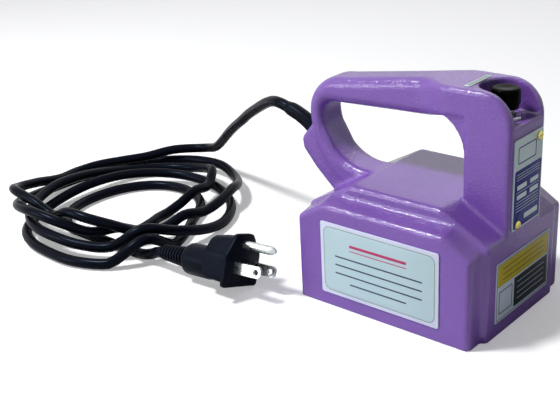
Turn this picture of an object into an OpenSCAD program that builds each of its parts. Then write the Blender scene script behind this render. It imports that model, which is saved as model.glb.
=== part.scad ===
// Handheld demagnetizer. A cast housing with a loop handle stands on its working face. Behind the face
// sit a U-shaped laminated core and two coils. A push-button switch hides in the handle's head.
// The origin is on the working face, midway along the block. +X points to the switch end.

/* [Centre block] */
// Length of the centre block
block_length = 108; // [104:0.5:112]
// Width of the centre block, between the side slabs
block_width = 63.5; // [60:0.5:68]
// Height of the centre block
block_height = 63; // [61:0.5:65]
// Length of the slope at each end of the block's top
block_slope_run = 26.5; // [22:0.5:28]
// Height that the block loses over that slope
block_slope_drop = 14.5; // [10:0.5:16]

/* [Side slabs] */
// Length of the slabs on the long sides
slab_length = 102.5; // [101:0.5:104]
// Width of the housing over both slabs
body_width = 87.5; // [85:0.5:96]
// Height of the slabs
slab_height = 55.5; // [53:0.5:58]
// Length of the slope at each end of a slab's top
slab_slope_run = 15.5; // [12:0.5:18]
// Height that a slab loses over that slope
slab_slope_drop = 9.5; // [6:0.5:11]
// Radius along the casting's outer edges
edge_radius = 3.6; // [2.6:0.1:4.4]

/* [Handle] */
// Height of the head's flat top above the working face
head_top = 117.5; // [116:0.25:119]
// Width of the front post and the head
post_width = 33.4; // [32:0.2:36]
// Depth of the front post, from the end face inwards
post_depth = 24.2; // [23.6:0.2:25]
// Radius of the head's front upper corner
nose_radius = 15.5; // [13:0.5:16]
// Radius along the edges of the post and the head
post_edge = 2.6; // [1.8:0.2:3.2]
// Width of the grip and the rear post
grip_width = 21; // [19:0.5:23]
// Radius along the edges of the grip
grip_edge = 5.6; // [4:0.2:6.4]
// Height of the grip at its rear end
grip_height = 13.8; // [12.5:0.2:15]
// Thickness of the rear post at its thinnest
rear_post_thickness = 8; // [7:0.25:9]
// How far the hand hole reaches behind the origin
hole_rear = 61; // [60:0.25:62]
// Height of the grip's underside at its rear end
grip_underside = 95.7; // [94.5:0.1:97]

/* [Cord boss] */
// Width of the boss behind the rear post
boss_width = 20; // [18:0.5:21]
// Angle at which the cord leaves the boss
exit_angle = 36.5; // [35:0.5:38]
// Diameter of the strain relief sleeve at the boss
sleeve_diameter = 8.6; // [8:0.1:9.2]
// Diameter of the cord
cord_diameter = 6.2; // [6:0.1:6.3]

/* [Switch] */
// Width of the open pocket in the head
pocket_width = 23.2; // [22.4:0.2:24]
// Depth of the pocket below the head's top
pocket_depth = 15.5; // [14.5:0.25:16.5]
// Distance of the button's axis from the end face
button_setback = 12.3; // [12:0.1:12.8]
// Diameter of the button cap
button_diameter = 12.8; // [12.4:0.1:13.4]
// How far the cap's top lies below the head's top
button_drop = 1.1; // [0.5:0.1:1.5]
// How far the button goes in
button_travel = 3; // [2:0.25:3]
// Diameter of the switch's threaded barrel
barrel_diameter = 9.6; // [9.2:0.1:9.8]
// Diameter of the plunger
plunger_diameter = 4.6; // [4.2:0.1:5]
// Diameter of the recess around the switch nut
recess_diameter = 17; // [16.8:0.1:17.8]
// Width of the switch nut across its flats
nut_width = 14; // [13.4:0.1:14.2]

/* [Magnet] */
// Thickness of the base plate
base_thickness = 3; // [2.4:0.2:3.2]
// Width of each pole along the block
pole_width = 18; // [16:0.5:19]
// Depth of the core across the block
core_depth = 42; // [38:1:44]
// Distance between the pole centres
pole_spacing = 46; // [45:0.5:47]
// Height of the yoke's underside
yoke_bottom = 25; // [24:0.5:26]
// Height of the yoke
yoke_height = 16; // [14:0.5:16]
// Thickness of the wound wire on a bobbin
winding_thickness = 5.6; // [4.6:0.2:5.8]

/* [Plates] */
// Width of the data plate
data_plate_width = 26.8; // [24:0.2:27.6]
// Height of the data plate
data_plate_height = 45; // [43:0.5:46]
// Width of the long side's plate
side_plate_width = 70; // [60:1:72]
// Height of the long side's plate
side_plate_height = 39.5; // [36:0.5:41]
// Width of the end face's label
end_label_width = 52; // [46:0.5:54]
// Height of the end face's label
end_label_height = 31.6; // [28:0.2:33]
// Length of the thin strip across the head's top
top_strip_length = 21; // [18:0.5:23]

/* [Hidden] */
$fn = 48;
casting = "#7a5aa8";
near_black = "#17171f";

// Clearances between pieces
fit_gap = 0.1;
loose_gap = 0.3;
cut_over = 1;

// Casting: walls, cavities and bosses
end_wall = 8.5;
side_wall = 6.8;
lower_roof = 44;
upper_roof = 56;
upper_cavity_x = 28.5;
upper_cavity_y = 26;
rim_inset = 5;
rim_corner = 6;
end_x = block_length / 2;
slab_y = body_width / 2;
post_rear = end_x - post_depth;
cavity_x = end_x - end_wall;
cavity_y = slab_y - side_wall;
plate_x = end_x - rim_inset;
plate_y = slab_y - rim_inset;

// Base plate screws: three along each long side
base_screw_d = 4;
base_screw_head = 7.6;
base_screw_length = 12;
screw_column = 9;
base_screw_places = [for (sy = [-1, 1], sx = [-1, 0, 1]) [sx * (cavity_x - 4), sy * (cavity_y - 4)]];

// Core and coils
core_top = yoke_bottom + yoke_height;
yoke_length = pole_spacing + pole_width;
bobbin_wall = 1;
bobbin_low = base_thickness + loose_gap;
bobbin_high = yoke_bottom - loose_gap;
bolt_d = 6;
bolt_y = 14;
bolt_head = 9.6;
bolt_head_height = 3.6;
bar_thickness = 3;
roof_boss = 13;

// Cord entry, saddle and terminal block
boss_top = [-67.4, 82.7];
boss_low = [-75.6, 71.8];
exit_point = [-72.7, 0, 75.6];
exit_dir = [-cos(exit_angle), 0, sin(exit_angle)];
stem_length = 10;
entry_z = upper_roof - 7;
saddle_x = -20;
saddle_width = 7;
saddle_reach = 11;
saddle_screw_y = 8;
cord_end = saddle_x + 9;
terminal_x = 19;
earth_place = [9.5, 21];
earth_screw_length = 4;
terminal_size = [14, 30, 9];
terminal_z = upper_roof - 5.4;
lead_d = 2;

// Switch, from the pocket floor down
pocket_floor = head_top - pocket_depth;
button_top = head_top - button_drop;
floor_thickness = 4.6;
button_x = end_x - button_setback;
panel_low = pocket_floor - floor_thickness;
recess_depth = 1.2;
nut_height = 2.4;
washer_thickness = 0.8;
nut_top = pocket_floor - recess_depth + nut_height;
barrel_top = nut_top + 0.6;
switch_size = [13, 13, 20];
switch_top = panel_low - washer_thickness;
shaft_half = 8.4;
skirt_low = nut_top + button_travel + 0.4;
cap_ceiling = button_top - 3;
plunger_low = switch_top - 9;
spring_wire = 0.8;
spring_turns = 6;
spring_d = 7.6;

// Handle profile: the hand hole's two large arcs and the grip's lines
hole_centre = [-33.2, 90.2];
hole_radius = hole_rear + hole_centre[0];
inner_corner = 6.6;
outer_corner = 17;
underside_rise = 0.045;
bend_x = 4;
grip_rear_x = outer_corner - hole_rear - rear_post_thickness;
hole_front_radius = 25.2;

// Places of the plates
plate_thickness = 0.8;
data_plate_z = 51;
drive_screw_d = 2;
drive_screw_length = 3.4;
drive_screw_places = [[10, data_plate_z + data_plate_height - 3.6], [-8.5, data_plate_z + 2.2]];
side_plate_z = 7.4;
side_plate_thickness = 0.6;
end_label_z = 7.2;
end_label_y = 0.5;
label_thickness = 0.3;
strip_x = 26.4;
strip_width = 2.9;

// Cord: the free stretches' points, chosen by hand
sleeve_route = [exit_point, [-77.2, 0, 78.7], [-82, 0, 81.3], [-87, 0.1, 83.2], [-92.2, 0.3, 84.6]];
sleeve_radii = [4.3, 4.25, 4.15, 4.05, 3.95];
run_route = [[-92.2, 0.3, 84.6], [-98.2, 0.8, 85.8], [-105, 3.4, 85], [-114, 8, 81.6], [-124, 13.4, 76.6],
    [-135, 19.4, 70.6], [-146, 25, 64.2], [-157, 30.8, 57], [-168, 36.6, 50.2], [-178, 42, 43.6],
    [-188, 47.4, 36.4], [-197, 52.4, 29.8], [-206, 57, 23.4], [-214, 60.6, 19]];
tail_route = [[-175, -64, 3.1], [-163, -64.2, 3.1], [-152, -64.6, 3.8], [-143, -65, 6.6],
    [-138, -65.3, 9], [-133, -65.6, 10.4]];

// Coil: reach from its middle at every quarter turn, beginning at the back
coil_centre = [-213, -18];
coil_reach = [84, 62.5, 56, 56, 77, 69, 67.5, 28, 64, 49, 70, 70.5, 52, 40, 74, 50, 39, 32, 46];
coil_swells = [[0.45, -9, 0.45], [1.5, 15, 0.45], [2.3, 4, 0.4], [14.55, 20, 0.6]];
coil_first = 0.1;
coil_last = 18.1;
rings_per_quarter = 6;
lift = 9.2;
lift_reach = 22;
skipped_rings = 10;

// Plug: its place on the floor, standard pins, and its moulding
plug_place = [-77, -60, 14.8];
plug_turn = [-20.5, -2.5, 4.5];
blade_pitch = 12.7;
blade_size = [17.5, 1.5, 6.3];
ground_offset = 11.9;
ground_length = 20.6;
ground_d = 4.8;
flange_thickness = 2.6;
moulding_length = 19;
plug_barrel_d = 17.8;
plug_barrel_end = -37;
plug_axis_drop = -1.8;

function unit(v) = v / norm(v);
function tangent(p, k) = unit(p[min(k + 1, len(p) - 1)] - p[max(k - 1, 0)]);
function start_side(t) = unit(cross(t, abs(t[2]) < 0.9 ? [0, 0, 1] : [1, 0, 0]));
function sides(p, k = 0, last = undef, out = []) =
    k == len(p) ? out :
    let (t = tangent(p, k), m = is_undef(last) ? start_side(t) : unit(last - (last * t) * t))
    sides(p, k + 1, m, concat(out, [m]));
function ring_faces(rings, n) = concat(
    [[for (s = [n - 1:-1:0]) s]],
    [for (k = [0:rings - 2], s = [0:n - 1]) each
        let (a = k * n + s, b = k * n + (s + 1) % n) [[a, b, b + n], [a, b + n, a + n]]],
    [[for (s = [0:n - 1]) (rings - 1) * n + s]]);

// A tube along points, with one radius or one for each point
module tube(p, radius, n = 8) {
    m = sides(p);
    r = is_list(radius) ? radius : [for (k = p) radius];
    points = [for (k = [0:len(p) - 1]) let (t = tangent(p, k), w = cross(t, m[k]))
        for (s = [0:n - 1]) p[k] + r[k] * (cos(360 * s / n) * m[k] + sin(360 * s / n) * w)];
    polyhedron(points, [for (f = ring_faces(len(p), n)) [for (i = [len(f) - 1:-1:0]) f[i]]]);
}

// A round corner between two outline directions, for the rings of the handle
function corner_arc(c, r, from, steps = 4) =
    [for (s = [0:steps]) let (a = from + 90 * s / steps) [c[0] + r * cos(a), c[1] + r * sin(a)]];
function round_box(w, h, r) = concat(
    corner_arc([w - r, h - r], r, 0), corner_arc([r - w, h - r], r, 90),
    corner_arc([r - w, r], r, 180), corner_arc([w - r, r], r, 270));
// A ring of the handle stands on the line from the hole's edge to the outline
function handle_ring(inner, outer, half, r) =
    let (h = norm(outer - inner), e = (outer - inner) / h)
    [for (q = round_box(half, h, min(r, h / 2 - 0.2))) [inner[0] + e[0] * q[1], q[0], inner[1] + e[1] * q[1]]];

module loft(rings) {
    n = len(rings[0]);
    polyhedron([for (ring = rings, q = ring) q], ring_faces(len(rings), n));
}

// A block with sloped ends on top and round outer edges, standing on z = 0
module cast_block(length, width, height, run, drop, r) {
    slope = atan(drop / run);
    low = height - drop - r * (1 - sin(slope)) / cos(slope);
    top = length / 2 - run - r * (1 - cos(slope)) / sin(slope);
    hull() for (sx = [-1, 1], sy = [-1, 1]) {
        translate([sx * (length / 2 - r), sy * (width / 2 - r), 0]) cylinder(r = r, h = r, $fn = 24);
        translate([sx * (length / 2 - r), sy * (width / 2 - r), low]) sphere(r, $fn = 24);
        translate([sx * top, sy * (width / 2 - r), height - r]) sphere(r, $fn = 24);
    }
}

// The front post with the head: round edges all over and a large radius at the front
module post() {
    y = post_width / 2 - post_edge;
    hull() for (sy = [-1, 1]) {
        for (x = [post_rear + post_edge, end_x - post_edge])
            translate([x, sy * y, block_height - block_slope_drop - 6]) cylinder(r = post_edge, h = 1, $fn = 20);
        translate([post_rear + post_edge, sy * y, head_top - post_edge]) sphere(post_edge, $fn = 20);
        for (a = [0:18:90])
            translate([end_x - nose_radius + (nose_radius - post_edge) * cos(a), sy * y,
                head_top - nose_radius + (nose_radius - post_edge) * sin(a)]) sphere(post_edge, $fn = 20);
    }
}

function under(x) = grip_underside + (x - grip_rear_x) * underside_rise;
function over(x) = x > bend_x ? head_top :
    head_top - (head_top - grip_underside - grip_height) * (bend_x - x) / (bend_x - grip_rear_x);
function arc_point(c, r, a) = [c[0] + r * cos(a), c[1] + r * sin(a)];

// The grip widens into the head, bends round the rear corner and comes down behind the hand hole
module handle() {
    flare = [[36, 5.2, 0], [20, 5.2, 0], [16, 4.4, 0.4], [11, 2.6, 2.6], [6, 0.8, 4.9], [1, 0, 6.05]];
    loft(concat(
        [for (f = flare) handle_ring([f[0], under(min(f[0], 20)) + f[1] * 0.8], [f[0], over(f[0])],
            post_width / 2 - f[2], post_edge + f[2] * (grip_edge - post_edge) / 6.05)],
        [for (x = [-10, -22, -34, -45]) handle_ring([x, under(x)], [x - 1.5, over(x - 1.5)], grip_width / 2, grip_edge)],
        [for (a = [98:16.4:180]) handle_ring(
            arc_point([inner_corner - hole_rear, grip_underside - inner_corner], inner_corner, a),
            arc_point([grip_rear_x, grip_underside + grip_height - outer_corner], outer_corner, a),
            grip_width / 2, grip_edge)],
        [for (a = [190:12:262]) handle_ring(arc_point(hole_centre, hole_radius, a),
            arc_point(hole_centre, hole_radius + rear_post_thickness + pow((a - 180) / 28, 2), a),
            grip_width / 2, min(grip_edge, rear_post_thickness / 2))]));
}

// The web that rounds the hand hole's front upper corner
module front_web() {
    low = head_top - 33;
    translate([0, post_width / 2 - post_edge / 2, 0]) rotate([90, 0, 0])
        linear_extrude(post_width - post_edge) difference() {
            translate([post_rear - 12, low]) square([13, head_top - 12 - low]);
            translate([post_rear - hole_front_radius, low + 0.2]) circle(hole_front_radius, $fn = 96);
        }
}

module cord_boss() {
    r = 2.6;
    outline = [boss_top + [3, -0.6], boss_low + [3.2, 0.6], [-72, 68.4], [-63.6, 58.6], [-52, 48],
        [-46, 54], [-53.6, 66], [-61, 78.6]];
    hull() for (q = outline, sy = [-1, 1])
        translate([q[0], sy * (boss_width / 2 - r), q[1]]) sphere(r, $fn = 16);
}

module rounded_plate(x, y, r, h) {
    linear_extrude(h) union() {
        square([2 * x - 2 * r, 2 * y], center = true);
        square([2 * x, 2 * y - 2 * r], center = true);
        for (sx = [-1, 1], sy = [-1, 1]) translate([sx * (x - r), sy * (y - r)]) circle(r);
    }
}

// The bosses that the core hangs from
module roof_bosses() {
    for (sy = [-1, 1]) translate([0, sy * bolt_y, core_top]) cylinder(d = roof_boss, h = upper_roof);
}

module cavities() {
    // Rebate for the base plate
    translate([0, 0, -cut_over]) rounded_plate(plate_x + fit_gap, plate_y + fit_gap, rim_corner, base_thickness + cut_over);
    difference() {
        translate([-cavity_x, -cavity_y, 0]) cube([2 * cavity_x, 2 * cavity_y, lower_roof]);
        for (q = base_screw_places) translate([q[0], q[1], base_thickness]) cylinder(d = screw_column, h = lower_roof);
        roof_bosses();
    }
    difference() {
        translate([-upper_cavity_x, -upper_cavity_y, lower_roof - cut_over])
            cube([2 * upper_cavity_x, 2 * upper_cavity_y, upper_roof - lower_roof + cut_over]);
        roof_bosses();
        translate([saddle_x - saddle_width / 2, -saddle_reach, entry_z + cord_diameter / 2 + fit_gap])
            cube([saddle_width, 2 * saddle_reach, upper_roof]);
    }
    // Room for the cord's entry and for the leads to the switch
    translate([-38, -9, lower_roof - cut_over]) cube([12, 18, 11]);
    translate([upper_cavity_x - cut_over, -7, lower_roof - cut_over]) cube([10, 14, 9]);
}

module housing() {
    color(casting) difference() {
        union() {
            cast_block(block_length, block_width, block_height, block_slope_run, block_slope_drop, edge_radius);
            cast_block(slab_length, body_width, slab_height, slab_slope_run, slab_slope_drop, edge_radius);
            post();
            handle();
            front_web();
            cord_boss();
        }
        cavities();
        for (q = base_screw_places) translate([q[0], q[1], 0]) cylinder(d = base_screw_d + 2 * fit_gap, h = base_screw_length + 2);
        for (sy = [-1, 1]) translate([0, sy * bolt_y, core_top - cut_over]) cylinder(d = bolt_d + 2 * fit_gap, h = 14);
        for (sy = [-1, 1]) translate([saddle_x, sy * saddle_screw_y, entry_z]) cylinder(d = 3 + 2 * fit_gap, h = 11);
        translate([earth_place[0], earth_place[1], upper_roof - 2]) cylinder(d = 3 + 2 * fit_gap, h = earth_screw_length + 1.6);
        // Shaft for the switch, the pocket, its recess and the barrel's hole
        translate([button_x - shaft_half, -shaft_half, lower_roof - cut_over])
            cube([2 * shaft_half, 2 * shaft_half, panel_low - lower_roof + cut_over]);
        translate([button_x, 0, pocket_floor]) cylinder(d = pocket_width, h = 40, $fn = 64);
        translate([button_x, -pocket_width / 2, pocket_floor]) cube([40, pocket_width, 40]);
        translate([button_x, 0, pocket_floor - recess_depth]) cylinder(d = recess_diameter, h = 40);
        translate([button_x, 0, panel_low - cut_over]) cylinder(d = barrel_diameter + 2 * fit_gap, h = 40);
        // Bore for the cord
        translate(exit_point + 6 * exit_dir) rotate([0, 90 + exit_angle, 0]) cylinder(d = sleeve_diameter + 2 * fit_gap, h = 56);
        for (q = drive_screw_places) translate([end_x - drive_screw_length - 0.2, q[0], q[1]])
            rotate([0, 90, 0]) cylinder(d = drive_screw_d + 2 * fit_gap, h = 8);
    }
}

module countersunk_screw(d, head, length) {
    depth = (head - d) / 2;
    rotate_extrude() polygon([[0, 0], [head / 2, 0], [d / 2, depth], [d / 2, length], [0, length]]);
}

module base_plate() {
    color("silver") difference() {
        rounded_plate(plate_x, plate_y, rim_corner, base_thickness);
        for (sx = [-1, 1]) translate([sx * pole_spacing / 2 - pole_width / 2 - loose_gap, -core_depth / 2 - loose_gap, -cut_over])
            cube([pole_width + 2 * loose_gap, core_depth + 2 * loose_gap, base_thickness + 2 * cut_over]);
        for (q = base_screw_places) translate([q[0], q[1], 0]) {
            cylinder(d = base_screw_d + 2 * fit_gap, h = 4 * base_thickness, center = true);
            translate([0, 0, -cut_over]) cylinder(d = base_screw_head + 2 * fit_gap, h = cut_over);
            rotate_extrude() polygon([[0, 0], [base_screw_head / 2 + fit_gap, 0],
                [base_screw_d / 2 + fit_gap, (base_screw_head - base_screw_d) / 2], [0, (base_screw_head - base_screw_d) / 2]]);
        }
    }
}

module base_screws() {
    color("gainsboro") for (q = base_screw_places) translate([q[0], q[1], 0])
        countersunk_screw(base_screw_d, base_screw_head, base_screw_length);
}

module core() {
    color("dimgray") difference() {
        union() {
            translate([-yoke_length / 2, -core_depth / 2, yoke_bottom]) cube([yoke_length, core_depth, yoke_height]);
            for (sx = [-1, 1]) translate([sx * pole_spacing / 2 - pole_width / 2, -core_depth / 2, 0])
                cube([pole_width, core_depth, yoke_bottom]);
        }
        for (sy = [-1, 1]) translate([0, sy * bolt_y, yoke_bottom - cut_over]) cylinder(d = bolt_d + 2 * fit_gap, h = yoke_height + 2 * cut_over);
    }
}

module clamp_bar() {
    color("silver") difference() {
        translate([-5.4, -core_depth / 2, yoke_bottom - bar_thickness]) cube([10.8, core_depth, bar_thickness]);
        for (sy = [-1, 1]) translate([0, sy * bolt_y, 0]) cylinder(d = bolt_d + 2 * fit_gap, h = yoke_bottom + cut_over);
    }
}

module core_bolts() {
    color("gainsboro") for (sy = [-1, 1]) translate([0, sy * bolt_y, yoke_bottom - bar_thickness]) {
        cylinder(d = bolt_d, h = bar_thickness + yoke_height + 12);
        difference() {
            translate([0, 0, -bolt_head_height]) cylinder(d = bolt_head, h = bolt_head_height);
            translate([0, 0, -bolt_head_height - cut_over]) cylinder(d = 5.2, h = cut_over + 2, $fn = 6);
        }
    }
}

// A bobbin: a tube round the pole with a flange at each end
module bobbin(x) {
    in_x = pole_width / 2 + fit_gap;
    in_y = core_depth / 2 + fit_gap;
    out = bobbin_wall + winding_thickness + 0.6;
    color("ivory") translate([x, 0, 0]) difference() {
        union() {
            for (z = [bobbin_low, bobbin_high - bobbin_wall]) translate([0, 0, z])
                rounded_plate(in_x + out, in_y + out, 6, bobbin_wall);
            translate([0, 0, bobbin_low]) rounded_plate(in_x + bobbin_wall, in_y + bobbin_wall, 1, bobbin_high - bobbin_low);
        }
        translate([-in_x, -in_y, 0]) cube([2 * in_x, 2 * in_y, yoke_bottom]);
    }
}

module winding(x) {
    in_x = pole_width / 2 + fit_gap + bobbin_wall;
    in_y = core_depth / 2 + fit_gap + bobbin_wall;
    low = bobbin_low + bobbin_wall;
    high = bobbin_high - bobbin_wall;
    color("#b5652b") translate([x, 0, 0]) difference() {
        translate([0, 0, low]) rounded_plate(in_x + winding_thickness, in_y + winding_thickness, 5, high - low);
        translate([0, 0, low - cut_over]) rounded_plate(in_x, in_y, 1, high - low + 2 * cut_over);
    }
}

module bobbin_front() {
    bobbin(pole_spacing / 2);
}

module bobbin_rear() {
    bobbin(-pole_spacing / 2);
}

module winding_front() {
    winding(pole_spacing / 2);
}

module winding_rear() {
    winding(-pole_spacing / 2);
}

module terminal_block() {
    low = upper_roof - terminal_size[2];
    color("ivory") difference() {
        translate([terminal_x - terminal_size[0] / 2, -terminal_size[1] / 2, low]) cube(terminal_size);
        for (y = [-10, 0, 10], sx = [-1, 1]) translate([terminal_x + sx * 3.6, y, low - cut_over]) cylinder(d = 3.4, h = cut_over + 4);
    }
}

module terminal_screws() {
    low = upper_roof - terminal_size[2];
    color("gold") for (y = [-10, 0, 10], sx = [-1, 1]) translate([terminal_x + sx * 3.6, y, low + 1]) cylinder(d = 3, h = 3);
}

module earth_ring() {
    color("gold") translate([earth_place[0], earth_place[1], upper_roof - 1]) difference() {
        cylinder(d = 7, h = 1);
        translate([0, 0, -cut_over]) cylinder(d = 3 + 2 * fit_gap, h = 3 * cut_over);
    }
}

module pan_screw(d, length) {
    translate([0, 0, -2]) cylinder(d = 1.9 * d, h = 2);
    cylinder(d = d, h = length);
}

module earth_screw() {
    color("gold") translate([earth_place[0], earth_place[1], upper_roof - 1]) pan_screw(3, earth_screw_length);
}

module cord_saddle() {
    color("ivory") difference() {
        translate([saddle_x - saddle_width / 2, -saddle_reach, entry_z - 5.5]) cube([saddle_width, 2 * saddle_reach, 8.5]);
        translate([saddle_x - saddle_width, 0, entry_z]) rotate([0, 90, 0]) cylinder(d = cord_diameter + 2 * fit_gap, h = 2 * saddle_width);
        translate([saddle_x - saddle_width, -cord_diameter / 2 - fit_gap, entry_z]) cube([2 * saddle_width, cord_diameter + 2 * fit_gap, 8]);
        for (sy = [-1, 1]) translate([saddle_x, sy * saddle_screw_y, 0]) cylinder(d = 3 + 2 * fit_gap, h = 2 * entry_z);
        for (sy = [-1, 1]) translate([saddle_x, sy * saddle_screw_y, entry_z - 5.5 - cut_over]) cylinder(d = 6, h = 2.1 + cut_over);
    }
}

module saddle_screws() {
    color("silver") for (sy = [-1, 1]) translate([saddle_x, sy * saddle_screw_y, entry_z - 3.4]) pan_screw(3, 12);
}

module inner_cord() {
    from = exit_point - stem_length * exit_dir;
    color(near_black) tube([from, from - 16 * exit_dir, from - 27 * exit_dir + [0, 0, 0.5], [-34.5, 0, 49.6],
        [saddle_x - 8, 0, entry_z], [saddle_x, 0, entry_z], [cord_end, 0, entry_z]], cord_diameter / 2);
}

module mains_leads() {
    side = terminal_x - terminal_size[0] / 2;
    low = entry_z - 0.9;
    color("saddlebrown") tube([[cord_end, -1.6, low], [cord_end + 3, -1.6, low], [cord_end + 7, -2.2, low + 0.5],
        [side - 10, -5, terminal_z - 0.6], [side - 4, -6, terminal_z], [side, -6, terminal_z]], lead_d / 2, 6);
    color("royalblue") tube([[cord_end, 1.6, low], [cord_end + 3, 1.6, low], [cord_end + 7, 2.2, low + 0.5],
        [side - 10, 4.4, terminal_z - 0.6], [side - 4, 5, terminal_z], [side, 5, terminal_z]], lead_d / 2, 6);
    ring_z = upper_roof - 1.1;
    color("forestgreen") tube([[cord_end, 0, entry_z + 1.8], [cord_end + 2.6, 0, entry_z + 1.8], [cord_end + 6.4, 0, ring_z - 2.6],
        [side - 9, 1.4, ring_z - 1.3], [earth_place[0] - 1.5, 5.4, ring_z - 1.1], [earth_place[0] - 0.3, 11, ring_z - 0.9],
        [earth_place[0], earth_place[1] - 6, ring_z], [earth_place[0], earth_place[1] - 3.6, ring_z]], lead_d / 2, 6);
}

module coil_leads() {
    x = terminal_x;
    y = core_depth / 2 + 5;
    end_y = terminal_size[1] / 2;
    color("firebrick") for (sy = [-1, 1])
        tube([[x - 4, sy * y, bobbin_high], [x - 4, sy * y, bobbin_high + 5], [x - 3, sy * (y - 1), bobbin_high + 13],
            [x - 1, sy * (end_y + 6), terminal_z - 5], [x, sy * (end_y + 4), terminal_z - 0.8], [x, sy * (end_y + 2.2), terminal_z],
            [x, sy * end_y, terminal_z]], lead_d / 2, 6);
}

module switch_leads() {
    side = terminal_x + terminal_size[0] / 2;
    low = switch_top - switch_size[2];
    color("dimgray") for (sy = [-1, 1])
        tube([[side, sy * 4, terminal_z], [side + 3, sy * 4, terminal_z], [side + 10, sy * 4, terminal_z - 1.2],
            [button_x - 4, sy * 4.2, terminal_z + 1], [button_x - 1.4, sy * 4.2, terminal_z + 7.4],
            [button_x, sy * 4, low - 10], [button_x, sy * 4, low - 4], [button_x, sy * 4, low]], lead_d / 2, 6);
}

module switch_body() {
    color("#26262b") translate([button_x, 0, 0]) difference() {
        union() {
            translate([-switch_size[0] / 2, -switch_size[1] / 2, switch_top - switch_size[2]]) cube(switch_size);
            translate([0, 0, switch_top]) cylinder(d = barrel_diameter, h = barrel_top - switch_top);
        }
        translate([0, 0, plunger_low - button_travel - 1]) cylinder(d = plunger_diameter + 2 * fit_gap, h = 60);
    }
}

module lock_washer() {
    color("silver") translate([button_x, 0, switch_top]) difference() {
        cylinder(d = 14, h = washer_thickness);
        translate([0, 0, -cut_over]) cylinder(d = barrel_diameter + 2 * fit_gap, h = 3 * cut_over);
    }
}

module switch_nut() {
    color("silver") translate([button_x, 0, pocket_floor - recess_depth]) difference() {
        cylinder(d = nut_width / cos(30), h = nut_height, $fn = 6);
        translate([0, 0, -cut_over]) cylinder(d = barrel_diameter + 2 * fit_gap, h = nut_height + 2 * cut_over);
    }
}

module button_cap() {
    r = button_diameter / 2;
    edge = 0.8;
    color(near_black) translate([button_x, 0, 0]) difference() {
        union() {
            translate([0, 0, skirt_low]) cylinder(r = r - 0.6, h = 3);
            translate([0, 0, skirt_low + 2.4]) cylinder(r = r, h = button_top - edge - skirt_low - 2.4);
            rotate_extrude() {
                translate([0, skirt_low + 2.4]) square([r - edge, button_top - skirt_low - 2.4]);
                translate([r - edge, button_top - edge]) circle(edge, $fn = 24);
            }
        }
        translate([0, 0, skirt_low - cut_over]) cylinder(d = barrel_diameter + 2 * loose_gap, h = cap_ceiling - skirt_low + cut_over);
        translate([0, 0, cap_ceiling - cut_over]) cylinder(d = plunger_diameter + 2 * fit_gap, h = cut_over + 1.4);
    }
}

module plunger() {
    color("ivory") translate([button_x, 0, plunger_low]) cylinder(d = plunger_diameter, h = cap_ceiling + 1.4 - plunger_low);
}

// The spring's centreline climbs from the barrel to the cap's ceiling
function spring_line(steps) = [for (k = [0:steps]) let (a = 360 * spring_turns * k / steps)
    [spring_d / 2 * cos(a), spring_d / 2 * sin(a),
        barrel_top + spring_wire / 2 + (cap_ceiling - barrel_top - spring_wire) * k / steps]];

curl = spring_line(8 * spring_turns);
curl_gap = min([for (i = [0:len(curl) - 9]) norm(curl[i + 8] - curl[i])]) - spring_wire;
echo("least gap between the spring's curls", curl_gap);  // return_spring

module return_spring() {
    color("silver") translate([button_x, 0, 0]) tube(curl, spring_wire / 2 - 0.02, 6);
}

module plate_outline(w, h, r, t) {
    rounded_plate(w / 2, h / 2, r, t);
}

module data_plate() {
    color("lightsteelblue") difference() {
        translate([end_x, 0, data_plate_z + data_plate_height / 2]) rotate([90, 0, 90])
            plate_outline(data_plate_width, data_plate_height, 1.5, plate_thickness);
        for (q = drive_screw_places) translate([end_x - 2, q[0], q[1]]) rotate([0, 90, 0]) cylinder(d = drive_screw_d + 2 * fit_gap, h = 8);
    }
}

module drive_screws() {
    color("gold") for (q = drive_screw_places) translate([end_x - drive_screw_length, q[0], q[1]]) rotate([0, 90, 0]) {
        cylinder(d = drive_screw_d, h = drive_screw_length + plate_thickness + 0.4);
        translate([0, 0, drive_screw_length + plate_thickness]) rotate_extrude() intersection() {
            square([2.2, 1.1]);
            translate([0, -2.4]) circle(3.3);
        }
    }
}

module side_plate() {
    color("lightsteelblue") translate([0, -slab_y, side_plate_z + side_plate_height / 2]) rotate([90, 0, 0])
        plate_outline(side_plate_width, side_plate_height, 2, side_plate_thickness);
}

module end_label() {
    color("gold") translate([end_x, end_label_y, end_label_z + end_label_height / 2]) rotate([90, 0, 90])
        plate_outline(end_label_width, end_label_height, 1.5, label_thickness);
}

module top_strip() {
    color("gainsboro") translate([strip_x, -top_strip_length / 2 - 1.5, head_top]) cube([strip_width, top_strip_length, label_thickness]);
}

module strain_sleeve() {
    color(near_black) {
        tube(concat([exit_point + 0.01 * exit_dir], [for (k = [1:4]) sleeve_route[k]]), sleeve_radii, 16);
        translate(exit_point) rotate([0, 90 + exit_angle, 0]) cylinder(d = sleeve_diameter, h = stem_length);
    }
}

module cord_run() {
    lead_in = coil_points[0] - 3.5 * unit(coil_points[1] - coil_points[0]);
    color(near_black) tube(concat(run_route, [lead_in, coil_points[0]]), cord_diameter / 2);
}

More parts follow.
